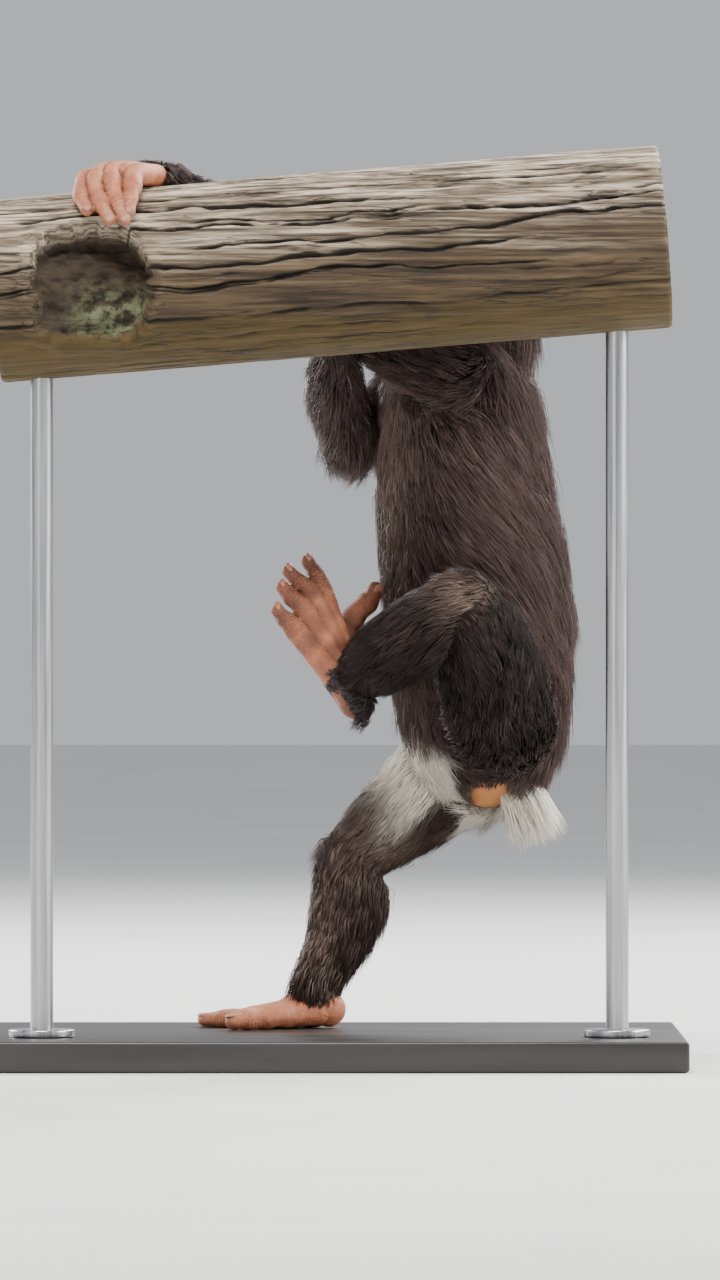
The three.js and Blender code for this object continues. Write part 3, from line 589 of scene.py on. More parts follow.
# For every point: the limb that it lies on, how far along, round it and out, and the coat's lie there
def onLimbs(points):
    best = np.full(len(points), np.inf)
    found = {key: np.zeros(len(points)) for key in ("t", "angle", "hair", "toneAndLight")}
    found["limb"] = np.zeros(len(points), dtype=int)
    found["gap"] = np.full(len(points), np.inf)
    lie = np.zeros((len(points), 3))
    weights = np.zeros(len(points))
    for index, (name, limb) in enumerate(limbs.items()):
        form = trunk[name]
        nearest = np.zeros(len(points), dtype=int)
        least = np.full(len(points), np.inf)
        for k in range(len(limb.path)):
            distance = np.linalg.norm(points - limb.path[k], axis=1)
            closer = distance < least
            nearest[closer] = k
            least[closer] = distance[closer]
        offset = points - limb.path[nearest]
        a = np.einsum("ij,ij->i", offset, limb.across[nearest]) / limb.size[nearest, 0]
        b = np.einsum("ij,ij->i", offset, limb.over[nearest]) / limb.size[nearest, 1]
        reach = limb.size[nearest].mean(axis=1)
        overshoot = np.abs(np.einsum("ij,ij->i", offset, limb.along[nearest])) / reach
        ratio = np.sqrt(a ** 2 + b ** 2 + 0.8 * overshoot ** 2)
        weight = np.exp(-7 * np.abs(ratio - 1)) * (ratio < 2.2) + 1e-9
        lie += weight[:, None] * form["lie"] * limb.along[nearest]
        found["hair"] += weight * form["hair"]
        found["toneAndLight"] += weight * form["toneAndLight"]
        found["gap"] = np.minimum(found["gap"], (ratio - 1) * reach)
        weights += weight
        closer = np.abs(ratio - 1) < best
        best[closer] = np.abs(ratio - 1)[closer]
        found["limb"][closer] = index
        found["t"][closer] = limb.t[nearest][closer]
        found["angle"][closer] = np.arctan2(b, a)[closer]
    found["lie"] = unit(lie)
    found["hair"] /= weights
    found["toneAndLight"] /= weights
    return found


def bump3(points, centre, halves):
    return np.exp(-np.sum(((points / mm - centre) / halves) ** 2, axis=1))


# How far each point lies outside the rays of a hand or foot
def rayGap(points, name):
    strands = [[(*p, r) for p, r in zip(ray, radii)] for ray, radii in raysOf(name)]
    if name in feet:
        strands.append(feet[name]["heel"])
    skipped = 2 if name in hands else 0
    gap = np.full(len(points), np.inf)
    for strand in strands:
        for *spot, radius in curveThrough(strand, 9)[skipped:] * mm:
            gap = np.minimum(gap, np.linalg.norm(points - spot, axis=1) - radius)
    return gap


# Patches of the coat and skin: centre and half sizes, and for the brown ones how strong they are
patches = dict(
    bareRump=((130, 38, 208), (33, 32, 19)), redRump=((130, 38, 208), (42, 40, 28)),
    shortRump=((128, 34, 224), (40, 36, 22)), shortHeel=((14, -18, 292), (28, 34, 30)),
    whiteRump=((150, 60, 208), (14, 24, 14)),
    brown=[(0.85, (112, -78, 376), (22, 18, 18)), (0.3, (56, 10, 470), (16, 50, 80)),
           (0.95, (46, 66, 178), (34, 24, 26)), (0.7, (0, 64, 112), (13, 20, 52)),
           # This last brown patch, by the right elbow's left edge, is painted rim light
           (0.8, (-12, 80, 506), (11, 46, 42))])


# Markings shared by skin and coat: red is bare skin, green is white hair, blue is light brown hair, and by
# the right elbow a painted rim light
def markings(points, found):
    x, y, z = headPart(points).T
    nearHead = (np.abs(x) < 85) & (np.abs(y) < 80) & (z > -58) & (z < 65)
    ragged = 0.6 * noise(points, 0.010, 11) + 0.4 * noise(points, 0.004, 12)
    faceEdge = 23 + 0.012 * y ** 2 + 0.5 * np.maximum(z - 12, 0) + 1.5 * ragged
    face = smoothstep(-3, 4, x - faceEdge) * smoothstep(28, 23, z + 0.01 * y ** 2) * smoothstep(-54, -47, z)
    ears = smoothstep(50, 52.5, np.abs(y)) * smoothstep(38, 32, np.abs(z - 3))
    bare = np.where(nearHead, np.maximum(face, ears), 0.0)
    x, y, z = (points / mm).T
    for name in (*hands, *feet):
        lead = found["gap"] - rayGap(points, name)
        own = smoothstep(-0.001, 0.006, lead + 0.0022 * ragged)
        if name == "footLeft":
            heel = x + 16 - 0.63 * (331 - z) + 3 * ragged
            own *= 1 - smoothstep(-5, 5, heel) * smoothstep(322, 308, z)
        bare = np.maximum(bare, own)
    rump = bump3(points, *patches["bareRump"])
    bare = np.maximum(bare, smoothstep(0.4, 0.62, rump + 0.08 * ragged))
    groin = 211 + 50 * smoothstep(106, 82, x) + 0.5 * np.maximum(0, 82 - x) + 4 * ragged
    outer = 0.76 * (z - 198) - 0.65 * (x - 62)
    white = smoothstep(7, -7, z - groin) * smoothstep(34, 74, x + 6 * ragged) * smoothstep(106, 88, y)
    white *= smoothstep(170, 158, x) * (z > 120)
    white *= smoothstep(-15, -1, np.where(x < 112, outer, 20) + 4 * ragged)
    white = np.maximum(white, 1.2 * bump3(points, *patches["whiteRump"]))
    # Light brown hair, and by the right elbow a painted rim light
    brown = sum(strong * bump3(points, centre, halves) for strong, centre, halves in patches["brown"])
    brown = np.clip(brown * (1 + 0.5 * ragged), 0, 1)
    return np.stack([np.clip(bare, 0, 1), np.clip(white, 0, 1), brown], axis=1)


# How deep each point of a mesh lies between its neighbours, evened out a little
def cavities(mesh):
    ends = np.empty(len(mesh.edges) * 2, dtype=np.int32)
    mesh.edges.foreach_get("vertices", ends)
    a, b = ends.reshape(-1, 2).T
    points, normals = positionsOf(mesh), normalsOf(mesh)
    count = np.bincount(a, minlength=len(points)) + np.bincount(b, minlength=len(points))

    def around(values):
        total = np.bincount(a, values[b], len(points)) + np.bincount(b, values[a], len(points))
        return total / np.maximum(count, 1)

    middle = np.stack([around(points[:, i]) for i in range(3)], axis=1)
    depth = np.einsum("ij,ij->i", middle - points, normals)
    for _ in range(3):
        depth = 0.5 * depth + 0.5 * around(depth)
    return depth / mm


# Shades of the bare skin: red is painted shade in the hollows and creases and a painted shadow on the raised
# sole, green browns the tips of fingers and toes, blue turns the rump golden
def skinShades(mesh, points):
    local = headPart(points)
    near = (np.abs(local) < 85).all(axis=1)
    # Creases found in the mesh get painted shade
    creaseShade = 0.95 * smoothstep(0.018, 0.12, cavities(mesh))
    dark = np.maximum(np.where(near, hollowShade(local), 0), creaseShade)
    tips = np.zeros(len(points))
    for name in (*hands, *feet):
        for ray, radii in raysOf(name):
            tips = np.maximum(tips, bellAt(points, ray[-1] * mm, 0.0085))
    # The raised left foot gets a painted shadow, mottled by noise
    sole = smoothstep(0.006, 0.0, rayGap(points, "footLeft"))
    dark = np.maximum(dark, 0.62 * sole * (1 + 0.7 * noise(points, 0.014, 15)))
    return np.stack([dark, tips, bump3(points, *patches["redRump"])], axis=1)


# Folds of the digits: red runs along the nearest one, green is strong at its joints, and blue is how far off
# it is
def foldMarks(points):
    least = np.full(len(points), np.inf)
    run = np.zeros(len(points))
    strong = np.zeros(len(points))
    for name in (*hands, *feet):
        for ray, radii in raysOf(name):
            path = curveThrough(ray, 9) * mm
            along = unit(np.gradient(path, axis=0))
            steps = np.linalg.norm(np.diff(path, axis=0), axis=1)
            for spot, way, length in zip(path, along, np.concatenate([[0], np.cumsum(steps)])):
                offset = points - spot
                distance = np.linalg.norm(offset, axis=1)
                closer = distance < least
                run[closer] = length + (offset @ way)[closer]
                least[closer] = distance[closer]
            for joint in ray[1:-1]:
                strong = np.maximum(strong, bellAt(points, joint * mm, 0.011))
    return np.stack([run * 10, 0.08 + 0.92 * strong, least * 10], axis=1)


print("forms laid out")
skin = makeSkin()
print("skin", len(skin.data.polygons), "triangles")
skinPoints = positionsOf(skin.data)
skinFound = onLimbs(skinPoints)
skinMarks = markings(skinPoints, skinFound)
setColors(skin.data, "marks", skinMarks)
setColors(skin.data, "shade", skinShades(skin.data, skinPoints))
setColors(skin.data, "fold", foldMarks(skinPoints))


# The coat: how many tufts, how they stand and how wide they are
coat = dict(tufts=136000, perPiece=19500, wide=1.08, sink=1.2, lift=25, settle=9, clumpOf=12, gather=0.6,
            patch=0.003, seed=4)


def sampleSkin(rng, count):
    mesh = skin.data
    mesh.calc_loop_triangles()
    flat = np.empty(len(mesh.loop_triangles) * 3, dtype=np.int32)
    mesh.loop_triangles.foreach_get("vertices", flat)
    tris = flat.reshape(-1, 3)
    corners = skinPoints[tris]
    across = np.cross(corners[:, 1] - corners[:, 0], corners[:, 2] - corners[:, 0])
    area = 0.5 * np.linalg.norm(across, axis=1)
    furry = 1 - skinMarks[tris][:, :, 0].mean(axis=1)
    chance = area * np.where(furry > 0.62, furry, 0) ** 1.5
    chance /= chance.sum()
    picked = rng.choice(len(tris), size=count, p=chance)
    a = np.sqrt(rng.random(count))[:, None]
    b = rng.random(count)[:, None]
    shares = np.concatenate([1 - a, a * (1 - b), a * b], axis=1)

    def spread(values):
        return np.einsum("ij,ij...->i...", shares, values[tris[picked]])

    return spread(skinPoints), unit(spread(normalsOf(mesh))), spread(skinMarks)


# Hair is turned aside by the log and lies on the board, never in them
def keepClear(points):
    offset = points - np.array([0, log["y"], log["z"]]) * mm
    along = offset @ logAlong
    radial = offset - along[:, None] * logAlong
    reach = np.linalg.norm(radial, axis=1, keepdims=True)
    least = (log["radius"] + 0.8) * mm
    inside = (reach < least) & (np.abs(along)[:, None] < log["ends"][1] * mm)
    points = np.where(inside, points + radial * (least / np.maximum(reach, 1e-6) - 1), points)
    points[:, 2] = np.maximum(points[:, 2], (stand["thick"] + 0.5) * mm)
    return points


# Corners of the three-sided rings of blades: each place has the share of the width that it keeps
def ringCorners(places, wide, side, other, flat):
    corners = []
    for place, share in places:
        for a in (0, 2 * np.pi / 3, 4 * np.pi / 3):
            turned = flat[0] * math.sin(a) * side + flat[1] * math.cos(a) * other
            corners.append(place + wide * share * turned)
    return corners


# Faces of a three-sided blade, closed at its root and drawn to its tip
def bladeFaces(rings):
    faces = [[0, 2, 1]]
    for r in range(0, 3 * rings - 3, 3):
        faces += [[r + i, r + (i + 1) % 3, r + 3 + i] for i in range(3)]
        faces += [[r + (i + 1) % 3, r + 3 + (i + 1) % 3, r + 3 + i] for i in range(3)]
    last = 3 * rings - 3
    return np.array(faces + [[last + i, last + (i + 1) % 3, last + 3] for i in range(3)])


# Blades as one piece, with each ring's share of their length and the rows of their patches of the OFBake map
def bladePiece(name, verts, shares, rows, chance, toneAndLight, marks, patch):
    count, each = verts.shape[:2]
    faces = bladeFaces(len(shares))[None] + each * np.arange(count)[:, None, None]
    piece = meshPiece(name, verts.reshape(-1, 3), faces.reshape(-1, 3))
    along = np.tile([*np.repeat(shares, 3), 1.0], count)
    setColors(piece.data, "strand", np.stack([along, np.repeat(chance, each), np.repeat(toneAndLight, each)], axis=1))
    setColors(piece.data, "marks", np.repeat(marks, each, axis=0))
    corners = np.array([(across, row) for row in rows for across in (0, 0.5, 1)] + [(0.5, 1)])
    spots = (patch[:, None] + coat["patch"] * corners[None]).reshape(-1, 2)
    layer = piece.data.uv_layers.new(name="OFBake")
    loops = np.empty(len(piece.data.loops), dtype=np.int32)
    piece.data.loops.foreach_get("vertex_index", loops)
    layer.uv.foreach_set("vector", spots[loops].astype(np.float32).ravel())
    shadeSmooth(piece)
    return piece


# Each tuft is a blade bent from its root down along the lie, its tip drawn to its clump's
def growCoat():
    rng = np.random.default_rng(coat["seed"])
    count = coat["tufts"]
    roots, normals, marks = sampleSkin(rng, count)
    found = onLimbs(roots)
    lie = found["lie"] + 0.16 * rng.standard_normal((count, 3))
    swirl = np.stack([noise(roots, 0.05, s) for s in (21, 22, 23)], axis=1)
    lie += 0.3 * swirl
    lie[:, 2] -= 0.16
    flank = smoothstep(0.015, 0.035, np.abs(roots[:, 1] - midY * mm)) * (found["limb"] == 0)
    lie[:, 0] += 1.1 * flank * smoothstep(0.25, 0.6, found["t"]) * smoothstep(0.055, 0.105, roots[:, 0])
    lie = unit(lie - normals * np.einsum("ij,ij->i", lie, normals)[:, None])
    length = found["hair"] * mm * (0.72 + 0.5 * rng.random(count))
    belly = smoothstep(0.2, -0.6, normals[:, 0]) * (found["limb"] == 0)
    length *= 1 - 0.35 * marks[:, 2] - 0.3 * belly
    length *= 1 - 0.8 * bump3(roots, *patches["shortRump"])
    length *= 1 - 0.85 * bump3(roots, *patches["shortHeel"])
    length *= 1 - 0.6 * smoothstep(0.72, 1.0, found["t"]) * (found["limb"] > 1) * (found["limb"] < 10)
    length *= 1 - 0.78 * smoothstep(0.0, 0.5, marks[:, 0])
    length *= 1 + 0.18 * noise(roots, 0.02, 31)
    flat = (1 - 0.6 * smoothstep(0.0, 0.4, marks[:, 0])) * np.where(found["limb"] == 10, 0.65, 1)
    rise = np.radians((coat["lift"] + 8 * rng.standard_normal(count)) * flat)
    rest = np.radians((coat["settle"] + 5 * rng.standard_normal(count)) * flat)
    start = roots - normals * coat["sink"] * mm
    risen = lie * np.cos(rise)[:, None] + normals * np.sin(rise)[:, None]
    settled = lie * np.cos(rest)[:, None] + normals * np.sin(rest * 0.4)[:, None]
    middle = roots + length[:, None] * 0.45 * risen
    tip = middle + length[:, None] * 0.58 * settled
    drop = 0.1 * length * smoothstep(0.02, 0.05, length)
    tip[:, 2] -= drop

    leaders = rng.choice(count, size=count // coat["clumpOf"], replace=False)
    tree = kdtree.KDTree(len(leaders))
    for n, leader in enumerate(leaders):
        tree.insert(roots[leader], n)
    tree.balance()
    leaderOf = leaders[[tree.find(root)[1] for root in roots]]
    agree = np.clip(np.einsum("ij,ij->i", normals, normals[leaderOf]), 0, 1) ** 4
    pull = (coat["gather"] * agree * rng.uniform(0.5, 1.2, count))[:, None]
    tip += pull * (tip[leaderOf] - tip)
    middle += 0.35 * pull * (middle[leaderOf] - middle)

    side = unit(np.cross(normals, lie))
    middle += side * (0.09 * length * noise(roots, 0.012, 33))[:, None]
    middle, tip = keepClear(middle), keepClear(tip)
    wide = coat["wide"] * mm * (0.75 + 0.5 * rng.random(count))
    wide *= 1 - 0.45 * smoothstep(0.0, 0.5, marks[:, 0])
    rings = ringCorners([(start, 1.0), (middle, 0.72)], wide[:, None], side, normals, (0.62, 0.34))
    verts = np.stack([*rings, tip], axis=1)
    order = np.lexsort((found["t"], found["limb"]))
    patch = unwrapOf(found)
    chance = rng.random(count)
    chance = 0.45 * chance + 0.55 * chance[leaderOf]
    pieces = []
    for n, begin in enumerate(range(0, count, coat["perPiece"])):
        part = order[begin:begin + coat["perPiece"]]
        pieces.append(bladePiece("coat_%02d" % (n + 1), verts[part], (0, 0.45), (0, 0.5), chance[part],
                                 found["toneAndLight"][part], marks[part], patch[part]))
    return pieces


# The skin unrolled: each limb's surface is a strip of the square, along it and round it
def unwrapOf(found):
    strips = len(limbs)
    u = (found["limb"] + 0.04 + 0.9 * found["t"]) / strips
    v = 0.02 + 0.95 * (found["angle"] / (2 * np.pi) + 0.5)
    return np.stack([u, v], axis=1)


coatPieces = growCoat()
print("coat", sum(len(piece.data.polygons) for piece in coatPieces), "triangles")


# White tuft over the rump: its own fine hairs, each from a root to a tip
tail = dict(hairs=4600, root=(142, 59, 226), tip=(170, 58, 174), fan=(20, 25), wide=0.85, seed=9)


def growTail():
    rng = np.random.default_rng(tail["seed"])
    count = tail["hairs"]
    spread = rng.normal(0, 0.45, (count, 2)).clip(-1, 1)
    rise = 8 * spread[:, 1] + 4 * rng.random(count)
    starts = tail["root"] + np.stack([9 * spread[:, 1], 15 * spread[:, 0], rise], axis=1)
    reach = (0.5 + 0.52 * rng.random(count))[:, None]
    clump = np.round(spread * 4) / 4
    fan = [tail["fan"][0] * clump[:, 1], tail["fan"][1] * clump[:, 0], 6 * clump[:, 1]]
    aim = tail["tip"] + np.stack(fan, axis=1)
    aim += 3.5 * rng.standard_normal((count, 3))
    tips = starts + reach * (aim - starts)
    middles = starts + 0.5 * (tips - starts) + np.array([4, 0, 4]) * rng.random((count, 1))
    starts, middles, tips = starts * mm, middles * mm, tips * mm
    side = unit(np.cross(tips - starts, up + 0.2 * rng.standard_normal(starts.shape)))
    other = unit(np.cross(side, tips - starts))
    places = [(starts, 0.8), (middles, 1.0), (0.35 * middles + 0.65 * tips, 0.6)]
    rings = ringCorners(places, tail["wide"] * mm, side, other, (0.6, 0.4))
    white = np.tile([0.0, 1.0, 0.0], (count, 1))
    shares = (0, 0.4, 0.75)
    return bladePiece("rump_tuft_hair", np.stack([*rings, tips], axis=1), shares, shares, rng.random(count),
                      np.zeros(count), white, unwrapOf(onLimbs(starts)))


tailPiece = growTail()
print("tail tuft grown")


# Shader maths as Python expressions: a wrapped socket adds its own Math nodes
class Value:
    def __init__(self, shader, socket):
        self.shader = shader
        self.socket = socket

    def math(self, operation, *others):
        inputs = dict(enumerate((self, *others)))
        return self.shader.node("ShaderNodeMath", {"operation": operation}, inputs)

    def __add__(self, other):
        return self.math("ADD", other)

    def __sub__(self, other):
        return self.math("SUBTRACT", other)

    def __rsub__(self, other):
        return self * -1 + other

    def __mul__(self, other):
        return self.math("MULTIPLY", other)

    __radd__ = __add__
    __rmul__ = __mul__


class Shader:
    def __init__(self, name):
        self.material = bpy.data.materials.new(name)
        self.material.use_nodes = True
        self.tree = self.material.node_tree
        self.principled = self.tree.nodes["Principled BSDF"]

    def node(self, kind, settings, inputs, output=0):
        made = self.tree.nodes.new(kind)
        for key, value in settings.items():
            if key == "stops":
                ramp = made.color_ramp
                while len(ramp.elements) < len(value):
                    ramp.elements.new(0.5)
                for element, (place, color) in zip(ramp.elements, value):
                    element.position = place
                    element.color = (*color, 1)
            else:
                setattr(made, key, value)
        for key, value in inputs.items():
            self.link(value, made.inputs[key])
        return Value(self, made.outputs[output])

    def link(self, value, socket):
        if isinstance(value, Value):
            self.tree.links.new(value.socket, socket)
        else:
            socket.default_value = value

    def place(self):
        return self.node("ShaderNodeTexCoord", {}, {}, "Object")

    def attribute(self, name, channel):
        color = self.node("ShaderNodeAttribute", {"attribute_name": name}, {}, "Color")
        return self.node("ShaderNodeSeparateColor", {}, {0: color}, channel)

    def noise(self, vector, scale, detail=3.0, rough=0.55):
        return self.node("ShaderNodeTexNoise", {}, {
            "Vector": vector, "Scale": scale, "Detail": detail, "Roughness": rough}, "Fac")

    def stretched(self, scale, turned=(0, 0, 0)):
        return self.node("ShaderNodeMapping", {}, {
            "Vector": self.place(), "Scale": scale, "Rotation": turned})

    def ramp(self, factor, *stops):
        return self.node("ShaderNodeValToRGB", {"stops": stops}, {0: factor}, "Color")

    def ranged(self, value, low, high, newLow=0.0, newHigh=1.0):
        return self.node("ShaderNodeMapRange", {"interpolation_type": "SMOOTHSTEP"}, {
            0: value, 1: low, 2: high, 3: newLow, 4: newHigh})

    def mix(self, factor, first, second):
        first = (*first, 1) if isinstance(first, tuple) else first
        second = (*second, 1) if isinstance(second, tuple) else second
        return self.node("ShaderNodeMix", {"data_type": "RGBA"}, {0: factor, 6: first, 7: second}, 2)

    def bump(self, height, distance):
        return self.node("ShaderNodeBump", {}, {"Height": height, "Distance": distance})

    def finish(self, color, roughness, normal=None, **fixed):
        self.link(color, self.principled.inputs["Base Color"])
        self.link(roughness, self.principled.inputs["Roughness"])
        if normal:
            self.link(normal, self.principled.inputs["Normal"])
        for key, value in fixed.items():
            self.principled.inputs[key].default_value = value
        return self.material


def coatMaterial():
    s = Shader("dark coat")
    along = s.attribute("strand", "Red")
    chance = s.attribute("strand", "Green")
    toneAndLight = s.attribute("strand", "Blue")
    white = s.attribute("marks", "Green")
    brown = s.attribute("marks", "Blue")
    patch = s.noise(s.place(), 16.0, 2.0)
    # The tone mixes the coat from a shaded to a lit colour: painted light and shade, partly the hair's own
    # tone
    shade = toneAndLight + (patch - 0.5) * 0.7
    dark = s.mix(shade, (0.0045, 0.0040, 0.0038), (0.080, 0.046, 0.043))
    # Lighter locks, picked by chance and most on the lit limbs: painted highlights
    lit = s.ranged(chance, 0.5, 0.95) * s.ranged(shade, 0.0, 0.5, 0.08, 0.7)
    dark = s.mix(lit, dark, (0.185, 0.118, 0.098))
    dark = s.mix(s.ranged(chance, 0.35, 0.05) * 0.7, dark, (0.010, 0.006, 0.006))
    # Lighter tips, strongest on the lit limbs: painted sheen
    dark = s.mix(s.ranged(along, 0.35, 1.0) * toneAndLight * 0.6, dark, (0.190, 0.130, 0.114))
    # Darker towards the roots: painted shade deep in the coat
    dark = s.mix(s.ranged(along, 0.4, 0.0) * 0.55, dark, (0.006, 0.004, 0.004))
    # Light brown hair, and by the right elbow a painted rim light
    light = s.mix(chance, (0.19, 0.125, 0.096), (0.40, 0.29, 0.228))
    color = s.mix(brown * 0.85, dark, light)
    pale = s.mix(chance, (0.88, 0.79, 0.63), (1.0, 0.97, 0.88))
    return s.finish(s.mix(white, color, pale), 0.5, **{"Specular IOR Level": 0.2})


def skinMaterial():
    s = Shader("creased skin")
    bare = s.attribute("marks", "Red")
    white = s.attribute("marks", "Green")
    hollow = s.attribute("shade", "Red")
    tips = s.attribute("shade", "Green")
    red = s.attribute("shade", "Blue")
    place = s.place()
    blotch = s.noise(place, 60.0, 4.0)
    pink = s.ramp(blotch, (0.3, (0.32, 0.092, 0.038)), (0.5, (0.47, 0.160, 0.072)),
                  (0.72, (0.61, 0.255, 0.135)))
    fine = s.noise(place, 900.0, 2.0)
    pink = s.mix(s.ranged(fine, 0.5, 0.72) * 0.3, pink, (0.30, 0.105, 0.065))
    pink = s.mix(tips * s.ranged(blotch, 0.2, 0.6, 0.3, 0.7), pink, (0.27, 0.105, 0.070))
    near = s.ranged(s.attribute("fold", "Blue"), 0.30, 0.20)
    waves = (s.attribute("fold", "Red") * 270 + s.noise(place, 130.0, 4.0) * 19).math("SINE") * 0.5 + 0.5
    folds = s.ranged(waves, 0.36, 0.0) * s.attribute("fold", "Green") * near
    # The folds across the digits: painted shade in their lines, also pressed in by the bump
    pink = s.mix(folds * 0.75, pink, (0.17, 0.052, 0.030))
    pink = s.mix(red * 0.75, pink, (0.64, 0.27, 0.080))
    # Painted shade in the hollows and creases, and the painted shadow on the raised left foot
    pink = s.mix(hollow * 0.85, pink, (0.085, 0.024, 0.014))
    under = s.mix(white, (0.020, 0.014, 0.014), (0.74, 0.66, 0.55))
    color = s.mix(s.ranged(bare, 0.08, 0.36), under, pink)
    cells = s.node("ShaderNodeTexVoronoi", {"feature": "DISTANCE_TO_EDGE"}, {
        "Vector": place, "Scale": 620.0}, 0)
    wide = s.noise(place, 240.0, 5.0, 0.6)
    normal = s.bump(s.ranged(cells, 0.0, 0.3) * 0.22 + wide - folds * 1.1, 0.0006)
    return s.finish(color, s.ranged(blotch, 0.3, 0.7, 0.5, 0.66), normal,
                    **{"Subsurface Weight": 0.1, "Subsurface Scale": 0.004})


def nailMaterial():
    s = Shader("grey nail")
    streak = s.noise(s.place(), 300.0, 2.0)
    color = s.ramp(streak, (0.3, (0.27, 0.110, 0.062)), (0.7, (0.43, 0.190, 0.115)))
    return s.finish(color, 0.48, s.bump(streak, 0.0001))


def eyeMaterial():
    s = Shader("brown eye")
    facing = s.attribute("iris", "Red")
    rays = s.noise(s.place(), 700.0, 3.0)
    iris = s.ramp(rays, (0.3, (0.035, 0.012, 0.004)), (0.7, (0.13, 0.05, 0.016)))
    color = s.mix(s.ranged(facing, 0.80, 0.83), (0.035, 0.022, 0.017), iris)
    color = s.mix(s.ranged(facing, 0.955, 0.965), color, (0.002, 0.002, 0.002))
    return s.finish(color, 0.08, **{"Coat Weight": 1.0, "Coat Roughness": 0.03})


def woodMaterial():
    s = Shader("weathered wood")
    tilt = (0, math.radians(log["tilt"]), 0)
    wander = s.noise(s.stretched((9, 30, 30), tilt), 1.0, 2.0)
    grain = s.noise(s.stretched((7, 210, 210), tilt), 1.0, 6.0, 0.68)
    hair = s.noise(s.stretched((16, 620, 620), tilt), 1.0, 3.0, 0.6)
    broad = s.noise(s.stretched((5, 32, 32), tilt), 1.0, 4.0)
    deep = s.attribute("bark", "Red")
    topSide = s.attribute("bark", "Green")
    hollow = s.attribute("bark", "Blue")
    onEnd = s.attribute("cut", "Red")
    radius = s.attribute("cut", "Green")
    wood = s.ramp(grain, (0.32, (0.012, 0.007, 0.003)), (0.46, (0.044, 0.026, 0.011)),
                  (0.60, (0.092, 0.059, 0.025)), (0.76, (0.190, 0.128, 0.062)))
    grey = s.ramp(grain, (0.36, (0.036, 0.024, 0.015)), (0.48, (0.22, 0.17, 0.118)),
                  (0.62, (0.64, 0.54, 0.41)))
    color = s.mix(s.ranged(topSide + (broad - 0.5) * 0.7, 0.55, 0.98), wood, grey)
    olive = s.mix(grain, (0.018, 0.010, 0.001), (0.102, 0.064, 0.005))
    color = s.mix(s.ranged(topSide + (broad - 0.5) * 0.6, 0.48, 0.22) * 0.85, color, olive)
    # Fine checks: painted shade darkens them, and the bump presses them in
    checks = (s.noise(s.stretched((11, 170, 170), tilt), 1.0, 2.0, 0.5) - 0.5).math("ABSOLUTE")
    checks = s.ranged(checks, 0.028, 0.0) * s.ranged(wander, 0.44, 0.56)
    color = s.mix(checks * 0.75, color, (0.020, 0.014, 0.010))
    color = s.mix(s.ranged(hair, 0.56, 0.72) * 0.4, color, (0.040, 0.029, 0.020))
    lichen = s.noise(s.place(), 95.0, 6.0, 0.7)
    # Inside the knot hole: dark rotten wood, deepened with painted shade, with lichen low at one side
    rotAndShade = s.mix(lichen, (0.003, 0.0015, 0.001), (0.052, 0.031, 0.012))
    low = s.node("ShaderNodeSeparateXYZ", {}, {0: s.place()}, "Z")
    side = s.node("ShaderNodeSeparateXYZ", {}, {0: s.place()}, "X")
    green = s.mix(lichen, (0.034, 0.036, 0.012), (0.20, 0.23, 0.115))
    patch = s.ranged(low, 0.622, 0.590) * s.ranged(side, -0.215, -0.180) * s.ranged(lichen, 0.42, 0.56)
    color = s.mix(s.ranged(hollow, 0.25, 0.8), color, s.mix(patch * 0.85, rotAndShade, green))
    rings = (radius * 190 + wander * 26).math("SINE") * 0.5 + 0.5
    endWood = s.mix(rings * 0.65 + grain * 0.35, (0.085, 0.058, 0.036), (0.250, 0.185, 0.125))
    endWood = s.mix(s.ranged(radius, 0.90, 0.99) * 0.6, endWood, (0.060, 0.045, 0.033))
    color = s.mix(onEnd, color, endWood)
    # Painted shade in the deep bark cracks and the end splits
    color = s.mix(s.ranged(deep, 0.12, 0.8) * 0.9, color, (0.010, 0.007, 0.005))
    height = grain + hair * 0.35 - checks * 0.6 + lichen * hollow * 0.8 + rings * onEnd * 0.4
    return s.finish(color, s.ranged(grain, 0.3, 0.8, 0.92, 0.74), s.bump(height, 0.0016))


def boardMaterial():
    s = Shader("satin board")
    grain = s.noise(s.stretched((4, 60, 60)), 1.0, 4.0)
    color = s.ramp(grain, (0.3, (0.018, 0.016, 0.015)), (0.7, (0.034, 0.031, 0.029)))
    return s.finish(color, s.ranged(grain, 0.3, 0.7, 0.34, 0.44), s.bump(grain, 0.0002))


def steelMaterial():
    s = Shader("satin steel")
    brushed = s.noise(s.stretched((400, 400, 6)), 1.0, 3.0)
    color = s.ramp(brushed, (0.3, (0.36, 0.36, 0.37)), (0.7, (0.52, 0.52, 0.53)))
    return s.finish(color, s.ranged(brushed, 0.3, 0.7, 0.26, 0.4), s.bump(brushed, 0.00005), Metallic=1.0)


def floorMaterial():
    s = Shader("pale floor")
    soft = s.noise(s.place(), 3.0, 2.0)
    return s.finish(s.ramp(soft, (0.3, (0.70, 0.70, 0.69)), (0.7, (0.76, 0.76, 0.75))), 0.8)


def dress(obj, material):
    obj.data.materials.clear()
    obj.data.materials.append(material)


furry = coatMaterial()
flesh = skinMaterial()
dress(skin, flesh)
for piece in (*coatPieces, tailPiece):
    dress(piece, furry)


